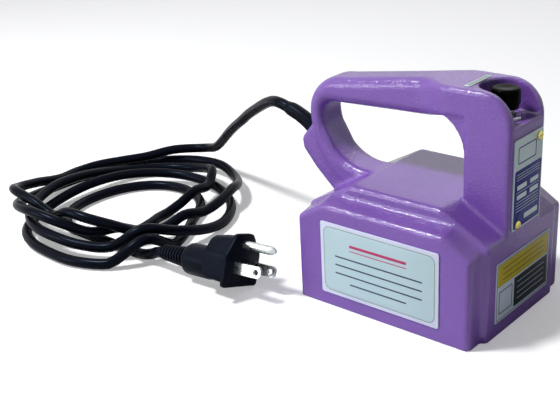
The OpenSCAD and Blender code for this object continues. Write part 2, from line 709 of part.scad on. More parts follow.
// Reach at a count of quarter turns: a smooth curve through the table, with local swells
function table(k) = coil_reach[max(0, min(len(coil_reach) - 1, k))];
function blend(a, b, c, d, f) = b + 0.5 * f * (c - a + f * (2 * a - 5 * b + 4 * c - d + f * (3 * (b - c) + d - a)));
function swell(t) = [for (s = coil_swells) abs(t - s[0]) < s[2] ? s[1] * pow(cos(90 * (t - s[0]) / s[2]), 2) : 0] * [for (s = coil_swells) 1];
function reach(t) = t > 18 ? table(18) / cos(90 * (t - 18)) :
    let (k = floor(t)) blend(table(k - 1), table(k), table(k + 1), table(k + 2), t - k) + swell(t);
function coil_plan(t) = coil_centre + reach(t) * [cos(90 + 90 * t), sin(90 + 90 * t)];
plan = concat([for (k = [0:round((coil_last - coil_first) * rings_per_quarter)]) coil_plan(coil_first + k / rings_per_quarter)],
    [for (q = tail_route) [q[0], q[1]]]);
coil_rings = len(plan) - len(tail_route);
// Each ring rests on what was laid before it, from the plug's end to the housing's
function along(p, a, b) = max(0, min(1, ((p - a) * (b - a)) / ((b - a) * (b - a))));
function lifted(p, a, b, za, zb) = let (s = along(p, a, b), d = norm(p - a - s * (b - a)))
    d > lift_reach ? 0 : (za + s * (zb - za) - cord_diameter / 2 + lift) * pow(cos(90 * d / lift_reach), 2);
function rest(k, laid) = cord_diameter / 2 + max(concat([0], [for (j = [k + skipped_rings:1:len(plan) - 2])
    lifted(plan[k], plan[j], plan[j + 1], laid[j - k - 1], laid[j - k])]));
function heights(k, laid) = k < 0 ? laid : heights(k - 1, concat([rest(k, laid)], laid));
laid_heights = heights(coil_rings - 1, [for (q = tail_route) q[2]]);
coil_points = [for (k = [0:coil_rings - 1]) [plan[k][0], plan[k][1], laid_heights[k]]];
// Least gap of the coil to itself, on four points between each two rings
fine = [for (k = [0:coil_rings - 2], s = [0:3]) coil_points[k] + (coil_points[k + 1] - coil_points[k]) * s / 4];
coil_gap = min([for (i = [0:len(fine) - 34], j = [i + 32:len(fine) - 1]) norm(fine[i] - fine[j])]) - cord_diameter;
echo("least gap of the coil to itself", coil_gap, "height at its start", coil_points[0]);  // cord_coil

module cord_coil() {
    color(near_black) tube(coil_points, cord_diameter / 2, 6);
}

module cord_tail() {
    color(near_black) tube(concat([coil_points[coil_rings - 1]], tail_route), cord_diameter / 2);
}

module plug_pose() {
    translate(plug_place) rotate(plug_turn) children();
}

// The plug's outline from the front: flat below and narrower towards the ground pin
module plug_outline(grow) {
    hull() {
        for (sy = [-1, 1]) translate([sy * (12.2 + grow), -8.4 - grow]) circle(1.6, $fn = 24);
        for (sy = [-1, 1]) translate([sy * (12.2 + grow), 6]) circle(1.6, $fn = 24);
        for (sy = [-1, 1]) translate([sy * 5, 13.6 + grow]) circle(3.4, $fn = 24);
    }
}

module plug_body() {
    color(near_black) plug_pose() difference() {
        union() {
            rotate([90, 0, 90]) translate([0, 0, -flange_thickness]) linear_extrude(flange_thickness) plug_outline(0.7);
            rotate([90, 0, 90]) translate([0, 0, -moulding_length]) linear_extrude(moulding_length - 1) plug_outline(-1.2);
            translate([plug_barrel_end, 0, plug_axis_drop]) rotate([0, 90, 0]) cylinder(d = plug_barrel_d, h = -plug_barrel_end - 16);
            translate([plug_barrel_end - 19, 0, plug_axis_drop]) rotate([0, 90, 0]) cylinder(d1 = 8.4, d2 = 12, h = 20);
        }
        for (sy = [-1, 1]) translate([-7, sy * blade_pitch / 2 - blade_size[1] / 2 - 0.05, -blade_size[2] / 2 - 0.05])
            cube([8, blade_size[1] + 0.1, blade_size[2] + 0.1]);
        translate([-7, 0, ground_offset]) rotate([0, 90, 0]) cylinder(d = ground_d + 0.1, h = 8);
    }
}

module plug_blades() {
    color("silver") plug_pose() for (sy = [-1, 1]) difference() {
        translate([-7, sy * blade_pitch / 2 - blade_size[1] / 2, -blade_size[2] / 2]) cube(blade_size + [7, 0, 0]);
        translate([blade_size[0] - 3.4, 0, 0]) rotate([90, 0, 0]) cylinder(d = 3, h = 40, center = true);
    }
}

module ground_pin() {
    color("silver") plug_pose() translate([-7, 0, ground_offset]) rotate([0, 90, 0]) {
        cylinder(d = ground_d, h = 7 + ground_length - 2.4);
        translate([0, 0, 7 + ground_length - 2.4]) cylinder(d1 = ground_d, d2 = 1.6, h = 2.4);
    }
}

housing();
base_plate();
base_screws();
core();
clamp_bar();
core_bolts();
bobbin_front();
bobbin_rear();
winding_front();
winding_rear();
terminal_block();
terminal_screws();
earth_ring();
earth_screw();
cord_saddle();
saddle_screws();
inner_cord();
mains_leads();
coil_leads();
switch_leads();
switch_body();
lock_washer();
switch_nut();
button_cap();
plunger();
return_spring();
data_plate();
drive_screws();
side_plate();
end_label();
top_strip();
strain_sleeve();
cord_run();
cord_coil();
cord_tail();
plug_body();
plug_blades();
ground_pin();
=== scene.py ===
# %% [markdown]
# # A handheld demagnetizer
# This lesson dresses a finished CAD model of a workshop demagnetizer: a purple cast housing with a loop
# handle, a black push button in its head, printed plates, and a coiled mains cord with a moulded plug.
# The CAD model gives the places and nearly all sizes. Blender gives the soft cast edges, the paint, the
# prints, the round cord and the moulded plug. Everything is in metres, in the frame of the CAD model.

# %% Load the frame
import math

import bmesh
import bpy
import numpy as np
from mathutils import Euler, Matrix, Vector


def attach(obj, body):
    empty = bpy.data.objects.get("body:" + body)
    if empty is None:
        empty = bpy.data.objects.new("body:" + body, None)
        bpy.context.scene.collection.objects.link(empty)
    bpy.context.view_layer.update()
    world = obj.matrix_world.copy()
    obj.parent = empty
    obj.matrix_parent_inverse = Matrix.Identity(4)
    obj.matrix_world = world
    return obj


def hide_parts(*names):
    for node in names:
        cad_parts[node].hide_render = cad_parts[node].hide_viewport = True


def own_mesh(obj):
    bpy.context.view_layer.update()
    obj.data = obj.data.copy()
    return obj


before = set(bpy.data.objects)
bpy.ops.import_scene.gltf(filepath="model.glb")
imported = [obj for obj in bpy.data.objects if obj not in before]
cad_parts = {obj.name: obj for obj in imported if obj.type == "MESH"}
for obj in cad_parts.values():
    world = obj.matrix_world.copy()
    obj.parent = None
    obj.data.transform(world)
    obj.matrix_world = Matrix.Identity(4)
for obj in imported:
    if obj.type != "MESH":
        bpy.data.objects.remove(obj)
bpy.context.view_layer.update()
MM = 0.001

# %% [markdown]
# ## The camera
# A product photograph is a perspective view, so the camera needs a real place. It stands in front of the
# push-button corner and a little above it. The lens is given in millimetres for a sensor 36 mm wide.
# A matrix is built from three directions, which is easier to reason about than three angles.

# %% Camera
AZIMUTH, ELEVATION, ROLL = (math.radians(a) for a in (41.86, 23.04, -3.11))
CAMERA_PLACE = Vector((0.2638, -0.4081, 0.2534))
SENSOR_WIDTH, LENS = 36, 65.71


def add_object(name, data):
    made = bpy.data.objects.new(name, data)
    bpy.context.scene.collection.objects.link(made)
    return made


camera_data = bpy.data.cameras.new("photo_camera")
camera_data.sensor_width = SENSOR_WIDTH
camera_data.lens = LENS
camera_data.clip_start = 0.02
camera_data.clip_end = 20
back = Vector((math.sin(AZIMUTH) * math.cos(ELEVATION), -math.cos(AZIMUTH) * math.cos(ELEVATION),
    math.sin(ELEVATION)))
level_right = (-back).cross(Vector((0, 0, 1))).normalized()
level_up = level_right.cross(-back)
right = math.cos(ROLL) * level_right + math.sin(ROLL) * level_up
up = math.cos(ROLL) * level_up - math.sin(ROLL) * level_right
camera = add_object("photo_camera", camera_data)
camera.matrix_world = Matrix.Translation(CAMERA_PLACE) @ Matrix((right, up, back)).transposed().to_4x4()
bpy.context.scene.camera = camera
print("camera at", [round(v, 3) for v in camera.location], "lens", camera_data.lens)

# %% [markdown]
# ## Where the cord lies
# The cord leaves the boss behind the handle, arches down to the table, lies in a loose coil of four and a
# half turns, and ends in the plug. A coil drawn by hand point by point would be long and uneven. Here its
# distance from the middle is a short table, one number for each quarter turn, and a smooth curve runs
# through the table. Local swells pull single places out or in, as in the photograph.

# %% The coil seen from above
EXIT = Vector((-72.7, 0, 75.6)) * MM
SLEEVE_ROUTE = [(-72.7, 0, 75.6), (-77.2, 0, 78.7), (-82, 0, 81.3), (-87, 0.1, 83.2), (-92.2, 0.3, 84.6)]
RUN_ROUTE = [(-92.2, 0.3, 84.6), (-98.2, 0.8, 85.8), (-105, 3.4, 85), (-114, 8, 81.6), (-124, 13.4, 76.6),
    (-135, 19.4, 70.6), (-146, 25, 64.2), (-157, 30.8, 57), (-168, 36.6, 50.2), (-178, 42, 43.6),
    (-188, 47.4, 36.4), (-197, 52.4, 29.8), (-206, 57, 23.4), (-214, 60.6, 19)]
TAIL_ROUTE = [(-175, -64, 3.1), (-163, -64.2, 3.1), (-152, -64.6, 3.8), (-143, -65, 6.6), (-138, -65.3, 9),
    (-133, -65.6, 10.4)]
CORD_DIAMETER = 6.2
COIL_CENTRE = (-213, -18)
COIL_REACH = [84, 62.5, 56, 56, 77, 69, 67.5, 28, 64, 49, 70, 70.5, 52, 40, 74, 50, 39, 32, 46]
COIL_SWELLS = [(0.45, -9, 0.45), (1.5, 15, 0.45), (2.3, 4, 0.4), (14.55, 20, 0.6)]
COIL_FIRST, COIL_LAST, RINGS_PER_QUARTER = 0.1, 18.1, 6
LAST_QUARTER = len(COIL_REACH) - 1


def reach_at(quarter):
    return COIL_REACH[max(0, min(LAST_QUARTER, quarter))]


def blend_four(a, b, c, d, f):
    """A smooth curve from b to c that takes its slopes from a and d."""
    return b + 0.5 * f * (c - a + f * (2 * a - 5 * b + 4 * c - d + f * (3 * (b - c) + d - a)))


def coil_reach(turn):
    """The distance from the coil's middle after so many quarter turns. Past the table it runs straight on."""
    if turn > LAST_QUARTER:
        return reach_at(LAST_QUARTER) / math.cos(math.pi / 2 * (turn - LAST_QUARTER))
    k = math.floor(turn)
    swell = sum(size * math.cos(math.pi / 2 * (turn - at) / wide) ** 2
        for at, size, wide in COIL_SWELLS if abs(turn - at) < wide)
    return blend_four(*[reach_at(k + i) for i in (-1, 0, 1, 2)], turn - k) + swell


def arc_point(centre, radius, degrees):
    """The point of a flat circle at an angle."""
    a = math.radians(degrees)
    return (centre[0] + radius * math.cos(a), centre[1] + radius * math.sin(a))


coil_count = round((COIL_LAST - COIL_FIRST) * RINGS_PER_QUARTER) + 1
quarters = [COIL_FIRST + k / RINGS_PER_QUARTER for k in range(coil_count)]
plan = [np.array(arc_point(COIL_CENTRE, coil_reach(q), 90 * (1 + q))) for q in quarters]
plan += [np.array(point[:2], float) for point in TAIL_ROUTE]
print("coil points:", coil_count, "turns:", (COIL_LAST - COIL_FIRST) / 4)

# %% [markdown]
# ## How high the cord lies
# A real coil was laid from one end, so each stretch rests on what was there before. The script does the
# same. It walks from the plug's end to the housing's, and where a stretch comes near an earlier one it
# climbs over it in a long low hump.

# %% Height of each point
LIFT, LIFT_REACH, SKIPPED_RINGS = 9.2, 22, 10


def lift_over(point, a, b, height_a, height_b):
    """How far a point climbs because of the stretch from a to b."""
    share = max(0.0, min(1.0, np.dot(point - a, b - a) / np.dot(b - a, b - a)))
    distance = np.linalg.norm(point - a - share * (b - a))
    if distance > LIFT_REACH:
        return 0.0
    below = height_a + share * (height_b - height_a) - CORD_DIAMETER / 2
    return (below + LIFT) * math.cos(math.pi / 2 * distance / LIFT_REACH) ** 2


heights = [0.0] * coil_count + [point[2] for point in TAIL_ROUTE]
for k in range(coil_count - 1, -1, -1):
    lifts = [lift_over(plan[k], plan[j], plan[j + 1], heights[j], heights[j + 1])
        for j in range(k + SKIPPED_RINGS, len(plan) - 1)]
    heights[k] = CORD_DIAMETER / 2 + max([0.0] + lifts)
COIL_ROUTE = [(plan[k][0], plan[k][1], heights[k]) for k in range(coil_count)]
print("coil's highest centreline point:", round(max(heights), 2), "mm")

# %% [markdown]
# ## The cord itself
# The route's points are a few millimetres apart, and a tube through them would show corners. A smooth curve
# through all the points is sampled five times as finely, and the round jacket is swept along it. Between
# two points the smooth curve can dip a little, so it is held up to where the jacket touches the floor.

# %% Smooth route
def smooth_route(points, steps):
    """Points on a smooth curve that passes through all the given points."""
    p = [2 * np.array(points[0], float) - np.array(points[1], float)]
    p += [np.array(q, float) for q in points]
    p.append(2 * p[-1] - p[-2])
    fine = []
    for i in range(1, len(p) - 2):
        knots = [0.0]
        for j in range(3):
            knots.append(knots[-1] + math.sqrt(np.linalg.norm(p[i + j] - p[i + j - 1])))

        def between(t, first, last, a, b):
            return ((knots[last] - t) * a + (t - knots[first]) * b) / (knots[last] - knots[first])

        for s in range(steps):
            t = knots[1] + (knots[2] - knots[1]) * s / steps
            a = [between(t, j, j + 1, p[i + j - 1], p[i + j]) for j in range(3)]
            b = [between(t, j, j + 2, a[j], a[j + 1]) for j in range(2)]
            fine.append(between(t, 1, 2, b[0], b[1]))
    fine.append(p[-2])
    return fine


def add_line(data, points):
    """Adds a line through points in millimetres, flat or in space, to a curve."""
    line = data.splines.new("POLY")
    line.points.add(len(points) - 1)
    for spot, point in zip(line.points, points):
        spot.co = (*[c * MM for c in (*point, 0)[:3]], 1)
    return line


def curve_tube(name, points, radius, sides=8):
    """A curve object with a round section that follows points given in millimetres."""
    data = bpy.data.curves.new(name, "CURVE")
    data.dimensions = "3D"
    data.bevel_depth = radius * MM
    data.bevel_resolution = sides
    data.use_fill_caps = True
    add_line(data, points).use_smooth = True
    return add_object(name, data)


# %% Plug's place, and the cord
PLUG_PLACE = Vector((-77, -60, 14.8))
PLUG_TURN = Euler([math.radians(a) for a in (-20.5, -2.5, 4.5)], "XYZ").to_matrix()
RELIEF_END, PLUG_AXIS_DROP, CORD_IN_RELIEF = -56, -1.8, 6


def plug_point(u, v, w):
    """A place on the plug: u out of its face, v across the blades and w towards the ground pin."""
    return PLUG_PLACE + PLUG_TURN @ Vector((u, v, w))


cord_ends_at = plug_point(RELIEF_END + CORD_IN_RELIEF, 0, PLUG_AXIS_DROP)
route = smooth_route(SLEEVE_ROUTE[2:4] + RUN_ROUTE + COIL_ROUTE + TAIL_ROUTE + [tuple(cord_ends_at)], 5)
for point in route:
    point[2] = max(point[2], CORD_DIAMETER / 2)
mains_cord = curve_tube("mains_cord", route, CORD_DIAMETER / 2)

# %% [markdown]
# ## Helpers for meshes
# Most pieces here are turned, extruded or lofted. One helper serves each way: a loft joins closed rings of
# points, a lathe turns a profile about an axis, and a flat outline becomes a plate with soft edges.

# %% Meshes and pieces
def finished_mesh(obj):
    """The mesh of an object with its modifiers or curve settings applied. The object goes away."""
    bpy.context.view_layer.update()
    graph = bpy.context.evaluated_depsgraph_get()
    mesh = bpy.data.meshes.new_from_object(obj.evaluated_get(graph))
    bpy.data.objects.remove(obj)
    return mesh


def shade_by_angle(mesh, degrees):
    """Smooth shading that keeps edges sharper than this angle sharp."""
    mesh.polygons.foreach_set("use_smooth", [True] * len(mesh.polygons))
    mesh.set_sharp_from_angle(angle=math.radians(degrees))


def mesh_from(bm, degrees=180):
    """The mesh of a bmesh, which is freed."""
    mesh = bpy.data.meshes.new("mesh")
    bm.to_mesh(mesh)
    bm.free()
    shade_by_angle(mesh, degrees)
    return mesh


def declare(piece, body, slot, *nodes):
    """Says which body a piece rides on and the CAD nodes that it replaces. The slot is not used."""
    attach(piece, body)
    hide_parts(*nodes)
    print(piece.name, "on", body, "replaces", *nodes)


def add_piece(name, mesh, materials, slot, *nodes, body="tool"):
    """A declared piece. The mesh keeps the material numbers that its faces have."""
    numbers = [polygon.material_index for polygon in mesh.polygons]
    mesh.name = name
    mesh.materials.clear()
    for material in materials:
        mesh.materials.append(material)
    mesh.polygons.foreach_set("material_index", numbers)
    made = add_object(name, mesh)
    declare(made, body, slot, *nodes)
    print("    faces:", len(mesh.polygons))
    return made


# %% Outlines
def circle(centre, radius, steps=32):
    return [arc_point(centre, radius, 360 * s / steps) for s in range(steps)]


def rounded(width, height, radius, centre=(0, 0), steps=8):
    """The corner points of a rounded rectangle, anticlockwise."""
    points = []
    for quarter, (sx, sy) in enumerate(((1, 1), (-1, 1), (-1, -1), (1, -1))):
        corner = (centre[0] + sx * (width / 2 - radius), centre[1] + sy * (height / 2 - radius))
        points += [arc_point(corner, radius, 90 * (quarter + s / steps)) for s in range(steps + 1)]
    return points


# %% Loft, lathe and plate
def loft(rings, place=Vector, degrees=30):
    """Joins closed rings, each of many points or of one, and closes both ends."""
    bm = bmesh.new()
    made = [[bm.verts.new(place(q) * MM) for q in ring] for ring in rings]
    for low, high in zip(made, made[1:]):
        for s in range(max(len(low), len(high))):
            corners = [ring[t % len(ring)] for ring, t in ((low, s), (low, s + 1), (high, s + 1), (high, s))]
            bm.faces.new(list(dict.fromkeys(corners)))
    for ring in (made[0][::-1], made[-1]):
        if len(ring) > 1:
            bm.faces.new(ring)
    bmesh.ops.recalc_face_normals(bm, faces=bm.faces)
    return mesh_from(bm, degrees)


def lathe(profile, place, direction=(0, 0, 1), segments=64, degrees=35):
    """Turns (radius, height) points, in millimetres, about an axis through place."""
    turn = Vector((0, 0, 1)).rotation_difference(Vector(direction)).to_matrix()
    rings = [[(x, y, height) for x, y in circle((0, 0), radius, segments if radius else 1)]
        for radius, height in profile]
    return loft(rings, lambda q: Vector(place) + turn @ Vector(q), degrees)


def outline_plate(outlines, low, high, edge, to_frame, number=0):
    """A plate between two heights. The outlines are filled, inner ones are holes, edges are softened."""
    data = bpy.data.curves.new("outline", "CURVE")
    data.dimensions = "2D"
    data.fill_mode = "BOTH"
    data.extrude = ((high - low) / 2 - edge) * MM
    data.bevel_depth = edge * MM
    data.bevel_resolution = 2
    data.offset = -edge * MM
    for outline in outlines:
        add_line(data, outline).use_cyclic_u = True
    mesh = finished_mesh(add_object("outline", data))
    mesh.transform(to_frame @ Matrix.Translation((0, 0, (low + high) / 2 * MM)))
    mesh.polygons.foreach_set("material_index", [number] * len(mesh.polygons))
    shade_by_angle(mesh, 35)
    return mesh


def join_meshes(meshes):
    """One mesh from several, with the material numbers of each kept."""
    bm = bmesh.new()
    for mesh in meshes:
        bm.from_mesh(mesh)
    bmesh.ops.remove_doubles(bm, verts=bm.verts, dist=1e-7)
    return mesh_from(bm, 35)


print("helpers ready")

# %% [markdown]
# ## Effects that several finishes share
# Enamel, moulded plastic and metal all show something small and uneven: an orange-peel skin, a colour that
# is not quite even, or fine scratches in one direction. Each effect is a node group, built once and placed
# in a material with its own values. The groups read the place on the object, so nothing changes when the
# camera moves.

# %% Node groups
FINER_BY = 2.6


def new_group(name, inputs, output):
    """An empty group, its input node, and its output node."""
    group = bpy.data.node_groups.new(name, "ShaderNodeTree")
    for label, kind, default in inputs:
        socket = group.interface.new_socket(label, in_out="INPUT", socket_type="NodeSocket" + kind)
        socket.default_value = default
    group.interface.new_socket(output, in_out="OUTPUT", socket_type="NodeSocketFloat")
    return group, group.nodes.new("NodeGroupInput"), group.nodes.new("NodeGroupOutput")


def node(tree, kind, links=(), **settings):
    """A node with its settings and input values, and links from other nodes' sockets into its own."""
    made = tree.nodes.new(kind)
    for key, value in settings.items():
        if hasattr(made, key):
            setattr(made, key, value)
        else:
            made.inputs[key.replace("_", " ")].default_value = value
    for source, target in links:
        tree.links.new(source, made.inputs[target])
    return made


def make_orange_peel():
    """Low round lumps of sprayed enamel, with a few finer ones in between."""
    group, entry, leave = new_group("orange_peel",
        [("Size", "Float", 400.0), ("Fine share", "Float", 0.3)], "Height")
    place, size = node(group, "ShaderNodeTexCoord").outputs["Object"], entry.outputs["Size"]
    broad = node(group, "ShaderNodeTexNoise", [(place, "Vector"), (size, "Scale")], Detail=1.0)
    finer = node(group, "ShaderNodeMath", [(size, 0)], operation="MULTIPLY")
    finer.inputs[1].default_value = FINER_BY
    fine = node(group, "ShaderNodeTexNoise", [(place, "Vector"), (finer.outputs[0], "Scale")], Detail=0.0)
    weighed = node(group, "ShaderNodeMath", [(fine.outputs["Fac"], 0), (entry.outputs["Fine share"], 1)],
        operation="MULTIPLY")
    total = node(group, "ShaderNodeMath", [(broad.outputs["Fac"], 0), (weighed.outputs[0], 1)],
        operation="ADD")
    group.links.new(total.outputs[0], leave.inputs["Height"])
    return group


def make_mottle():
    """A slow change between two values, for colour and roughness that are not quite even."""
    group, entry, leave = new_group("mottle",
        [("Size", "Float", 60.0), ("Low", "Float", 0.0), ("High", "Float", 1.0)], "Value")
    place, size = node(group, "ShaderNodeTexCoord").outputs["Object"], entry.outputs["Size"]
    noise = node(group, "ShaderNodeTexNoise", [(place, "Vector"), (size, "Scale")], Detail=4.0)
    spread = node(group, "ShaderNodeMapRange", [(noise.outputs["Fac"], "Value"),
        (entry.outputs["Low"], "To Min"), (entry.outputs["High"], "To Max")], From_Min=0.3, From_Max=0.7)
    group.links.new(spread.outputs["Result"], leave.inputs["Value"])
    return group


def make_brushing():
    """Fine parallel scratches, long in one direction."""
    group, entry, leave = new_group("brushing", [("Along", "Vector", (40.0, 4000.0, 4000.0))], "Height")
    place = node(group, "ShaderNodeTexCoord").outputs["Object"]
    stretched = node(group, "ShaderNodeVectorMath", [(place, 0), (entry.outputs["Along"], 1)],
        operation="MULTIPLY")
    noise = node(group, "ShaderNodeTexNoise", [(stretched.outputs[0], "Vector")], Scale=1.0, Detail=3.0)
    group.links.new(noise.outputs["Fac"], leave.inputs["Height"])
    return group


ORANGE_PEEL, MOTTLE, BRUSHING = make_orange_peel(), make_mottle(), make_brushing()
print("node groups:", [group.name for group in bpy.data.node_groups])

# %% [markdown]
# ## A finish and its surface
# Every finish starts from the same small recipe: a colour that shifts slightly between two tones, a
# roughness that does the same, and a bump from one of the shared effects. What differs is in the values.

# %% The recipe for a finish
def srgb(red, green, blue):
    """A colour given in 0 to 255, as the linear values that shaders use."""
    linear = [((c / 255 + 0.055) / 1.055) ** 2.4 if c > 10 else c / 255 / 12.92 for c in (red, green, blue)]
    return (*linear, 1.0)


def place_group(tree, group, **values):
    return node(tree, "ShaderNodeGroup", node_tree=group, **values)


def new_material(name):
    """A material, its tree and its main shader."""
    material = bpy.data.materials.new(name)
    material.use_nodes = True
    return material, material.node_tree, material.node_tree.nodes["Principled BSDF"]


def set_inputs(shader, **values):
    for label, value in values.items():
        shader.inputs[label.replace("_", " ")].default_value = value


def finish(name, tones, rough, mottle_size, skin=None, **constants):
    """A material between two tones and two roughness values, with an optional skin as a bump."""
    material, tree, shader = new_material(name)
    tone = place_group(tree, MOTTLE, Size=mottle_size)
    colour = node(tree, "ShaderNodeMix", [(tone.outputs["Value"], "Factor")], data_type="RGBA")
    for socket, values in zip([s for s in colour.inputs if s.type == "RGBA"], tones):
        socket.default_value = srgb(*values)
    tree.links.new([s for s in colour.outputs if s.type == "RGBA"][0], shader.inputs["Base Color"])
    shine = place_group(tree, MOTTLE, Size=mottle_size * 2.3, Low=rough[0], High=rough[1])
    tree.links.new(shine.outputs["Value"], shader.inputs["Roughness"])
    if skin:
        group, values, strength, depth = skin
        height = place_group(tree, group, **values).outputs["Height"]
        surface = node(tree, "ShaderNodeBump", [(height, "Height")], Strength=strength, Distance=depth * MM)
        tree.links.new(surface.outputs["Normal"], shader.inputs["Normal"])
    set_inputs(shader, **constants)
    return material


def peel(size, fine, strength, depth):
    """An orange peel with so many lumps to the metre. Its depth is in millimetres."""
    return ORANGE_PEEL, {"Size": size, "Fine share": fine}, strength, depth


def brushed(x, y, z, strength, depth):
    """Scratches that run along the axis with the smallest number."""
    return BRUSHING, {"Along": (x, y, z)}, strength, depth


print("finish recipe ready")

# %% [markdown]
# ## Enamel, and the other finishes
# The housing is cast and sprayed with a glossy purple enamel. The spray leaves an orange peel: lumps about
# one millimetre across that break each highlight into a trail of bright specks. So the peel is a bump under
# a smooth and shiny surface, and the colour stays nearly even. The black parts mirror little of the white
# studio, so their reflection is set very low and slightly blue.

# %% Finishes of the painted and moulded parts
DARK_SHEEN = {"Specular_IOR_Level": 0.06, "Specular_Tint": (0.5, 0.66, 1.0, 1.0)}
ENAMEL = finish("purple_enamel", [(112, 74, 160), (121, 81, 170)], (0.1, 0.15), 24, peel(950, 0.35, 1, 0.22),
    Specular_IOR_Level=0.6)
BLACK_JACKET = finish("black_cord_jacket", [(6, 8, 15), (10, 12, 21)], (0.22, 0.32), 30,
    peel(900, 0.5, 0.12, 0.2), **DARK_SHEEN)
BLACK_RUBBER = finish("black_relief_rubber", [(12, 13, 19), (17, 18, 26)], (0.32, 0.45), 60,
    peel(1400, 0.6, 0.15, 0.2), **DARK_SHEEN)
PLUG_BLACK = finish("moulded_plug_black", [(7, 9, 17), (11, 14, 24)], (0.34, 0.46), 80,
    peel(2600, 0.6, 0.2, 0.1), **DARK_SHEEN)
BUTTON_BLACK = finish("glossy_black_button", [(2, 2, 3), (3, 3, 4)], (0.12, 0.2), 90,
    peel(1500, 0.2, 0.05, 0.1), Specular_IOR_Level=0.02)
NYLON = finish("moulded_nylon", [(214, 208, 188), (224, 218, 200)], (0.42, 0.55), 60,
    peel(1800, 0.5, 0.15, 0.1))
PHENOLIC = finish("black_phenolic", [(28, 28, 30), (36, 36, 38)], (0.4, 0.52), 80, peel(2000, 0.5, 0.15, 0.1))
LEAD_SKIN = finish("lead_insulation", [(120, 60, 38), (134, 70, 44)], (0.36, 0.48), 80,
    peel(1600, 0.5, 0.1, 0.1))
print("finishes:", len(bpy.data.materials))

# %% Finishes of the metal parts
NICKEL = finish("nickel_plate", [(196, 204, 204), (212, 218, 216)], (0.2, 0.34), 200,
    brushed(60, 2500, 2500, 0.25, 0.04), Metallic=1.0)
STEEL = finish("plated_steel", [(176, 180, 178), (196, 198, 194)], (0.24, 0.36), 200,
    brushed(900, 900, 2400, 0.15, 0.04), Metallic=1.0)
BRASS = finish("brass", [(190, 180, 92), (212, 202, 118)], (0.2, 0.32), 300, peel(3000, 0.4, 0.1, 0.05),
    Metallic=1.0)
ALUMINIUM = finish("satin_aluminium", [(176, 182, 186), (192, 196, 198)], (0.34, 0.46), 60,
    brushed(50, 2600, 2600, 0.2, 0.05), Metallic=1.0)
IRON = finish("core_sheets", [(92, 92, 92), (112, 111, 108)], (0.38, 0.52), 90,
    brushed(30, 1900, 30, 0.6, 0.1), Metallic=0.9)
COPPER = finish("enamelled_copper", [(150, 74, 34), (176, 92, 44)], (0.22, 0.34), 80,
    brushed(60, 60, 2400, 0.7, 0.3), Coat_Weight=0.5)
print("finishes:", len(bpy.data.materials))

# %% Finishes of the plates and prints
INK_SKIN = peel(2500, 0.4, 0.08, 0.03)
PLATE_SILVER = finish("etched_aluminium", [(168, 184, 186), (184, 198, 200)], (0.36, 0.46), 40,
    brushed(3000, 3000, 60, 0.12, 0.03), Metallic=0.55)
PLATE_BLUE = finish("blue_etched_ink", [(18, 24, 112), (24, 31, 126)], (0.34, 0.44), 90,
    peel(4000, 0.4, 0.06, 0.03), Specular_IOR_Level=0.15)
PLATE_PALE = finish("pale_anodised_plate", [(172, 198, 206), (180, 204, 211)], (0.3, 0.4), 30,
    brushed(60, 3000, 3000, 0.08, 0.03))
PLATE_MARGIN = finish("bare_plate_margin", [(198, 204, 226), (208, 212, 232)], (0.3, 0.42), 40,
    brushed(60, 3000, 3000, 0.1, 0.03))
PRINT_GREY = finish("printed_grey_line", [(118, 132, 128), (132, 146, 140)], (0.4, 0.5), 200)
PRINT_DARK = finish("printed_dark_line", [(36, 52, 84), (48, 64, 96)], (0.4, 0.5), 200)
PRINT_RED = finish("printed_red_line", [(168, 30, 92), (184, 42, 104)], (0.4, 0.5), 200)
LABEL_YELLOW = finish("label_yellow_ink", [(172, 154, 12), (184, 168, 18)], (0.34, 0.46), 50, INK_SKIN,
    Specular_IOR_Level=0.2)
LABEL_BLACK = finish("label_black_ink", [(16, 22, 26), (22, 29, 33)], (0.34, 0.46), 50, INK_SKIN,
    Specular_IOR_Level=0.15)
LABEL_PALE = finish("label_pale_film", [(176, 190, 206), (186, 199, 214)], (0.3, 0.42), 50, INK_SKIN)
print("finishes:", len(bpy.data.materials))

# %% [markdown]
# ## The casting
# The CAD solid gives the casting's places. A closer look at the photograph then gave finer sizes: a wider
# centre block, slabs that rise towards it, sharper edges and a rounder rear corner. So the outside is
# modelled here from simple bodies in those sizes. A hull is the tightest skin round a set of points, and
# with small balls as the points it becomes a block with round edges.

# %% Hulls of balls
FRONT, REAR, BLOCK_WIDTH, BLOCK_HEIGHT = 54.0, 51.5, 67.5, 63.6
SLAB_FRONT, SLAB_REAR, BODY_WIDTH, SLAB_HEIGHT, SLAB_RISE = 51.2, 50.5, 89.0, 55.5, 2.2
BLOCK_RUN, BLOCK_DROP, SLAB_RUN, SLAB_DROP = 26.5, 14.5, 15.5, 9.5
EDGE = 2.4


def ball(centre, radius, count=12):
    """Points spread over a ball, in rows from pole to pole."""
    spots = []
    for row in range(count // 2 + 1):
        up = math.pi * row / (count // 2) - math.pi / 2
        around = circle(centre[:2], radius * math.cos(up), count if 0 < row < count // 2 else 1)
        spots += [(x, y, centre[2] + radius * math.sin(up)) for x, y in around]
    return spots


def disc(centre, radius, direction=(0, 0, 1), count=16):
    """Points on a circle that faces a direction."""
    turn = Vector((0, 0, 1)).rotation_difference(Vector(direction)).to_matrix()
    return [tuple(Vector(centre) + turn @ Vector((x, y, 0))) for x, y in circle((0, 0), radius, count)]


def box(low, high):
    return [(x, y, z) for x in (low[0], high[0]) for y in (low[1], high[1]) for z in (low[2], high[2])]


def hull(points):
    """The mesh of the tightest skin round the points, which are in millimetres."""
    bm = bmesh.new()
    for point in points:
        bm.verts.new(Vector(point) * MM)
    made = bmesh.ops.convex_hull(bm, input=bm.verts)
    loose = {item for item in made["geom_interior"] + made["geom_unused"]
        if isinstance(item, bmesh.types.BMVert)}
    bmesh.ops.delete(bm, geom=list(loose), context="VERTS")
    bmesh.ops.recalc_face_normals(bm, faces=bm.faces)
    return mesh_from(bm)


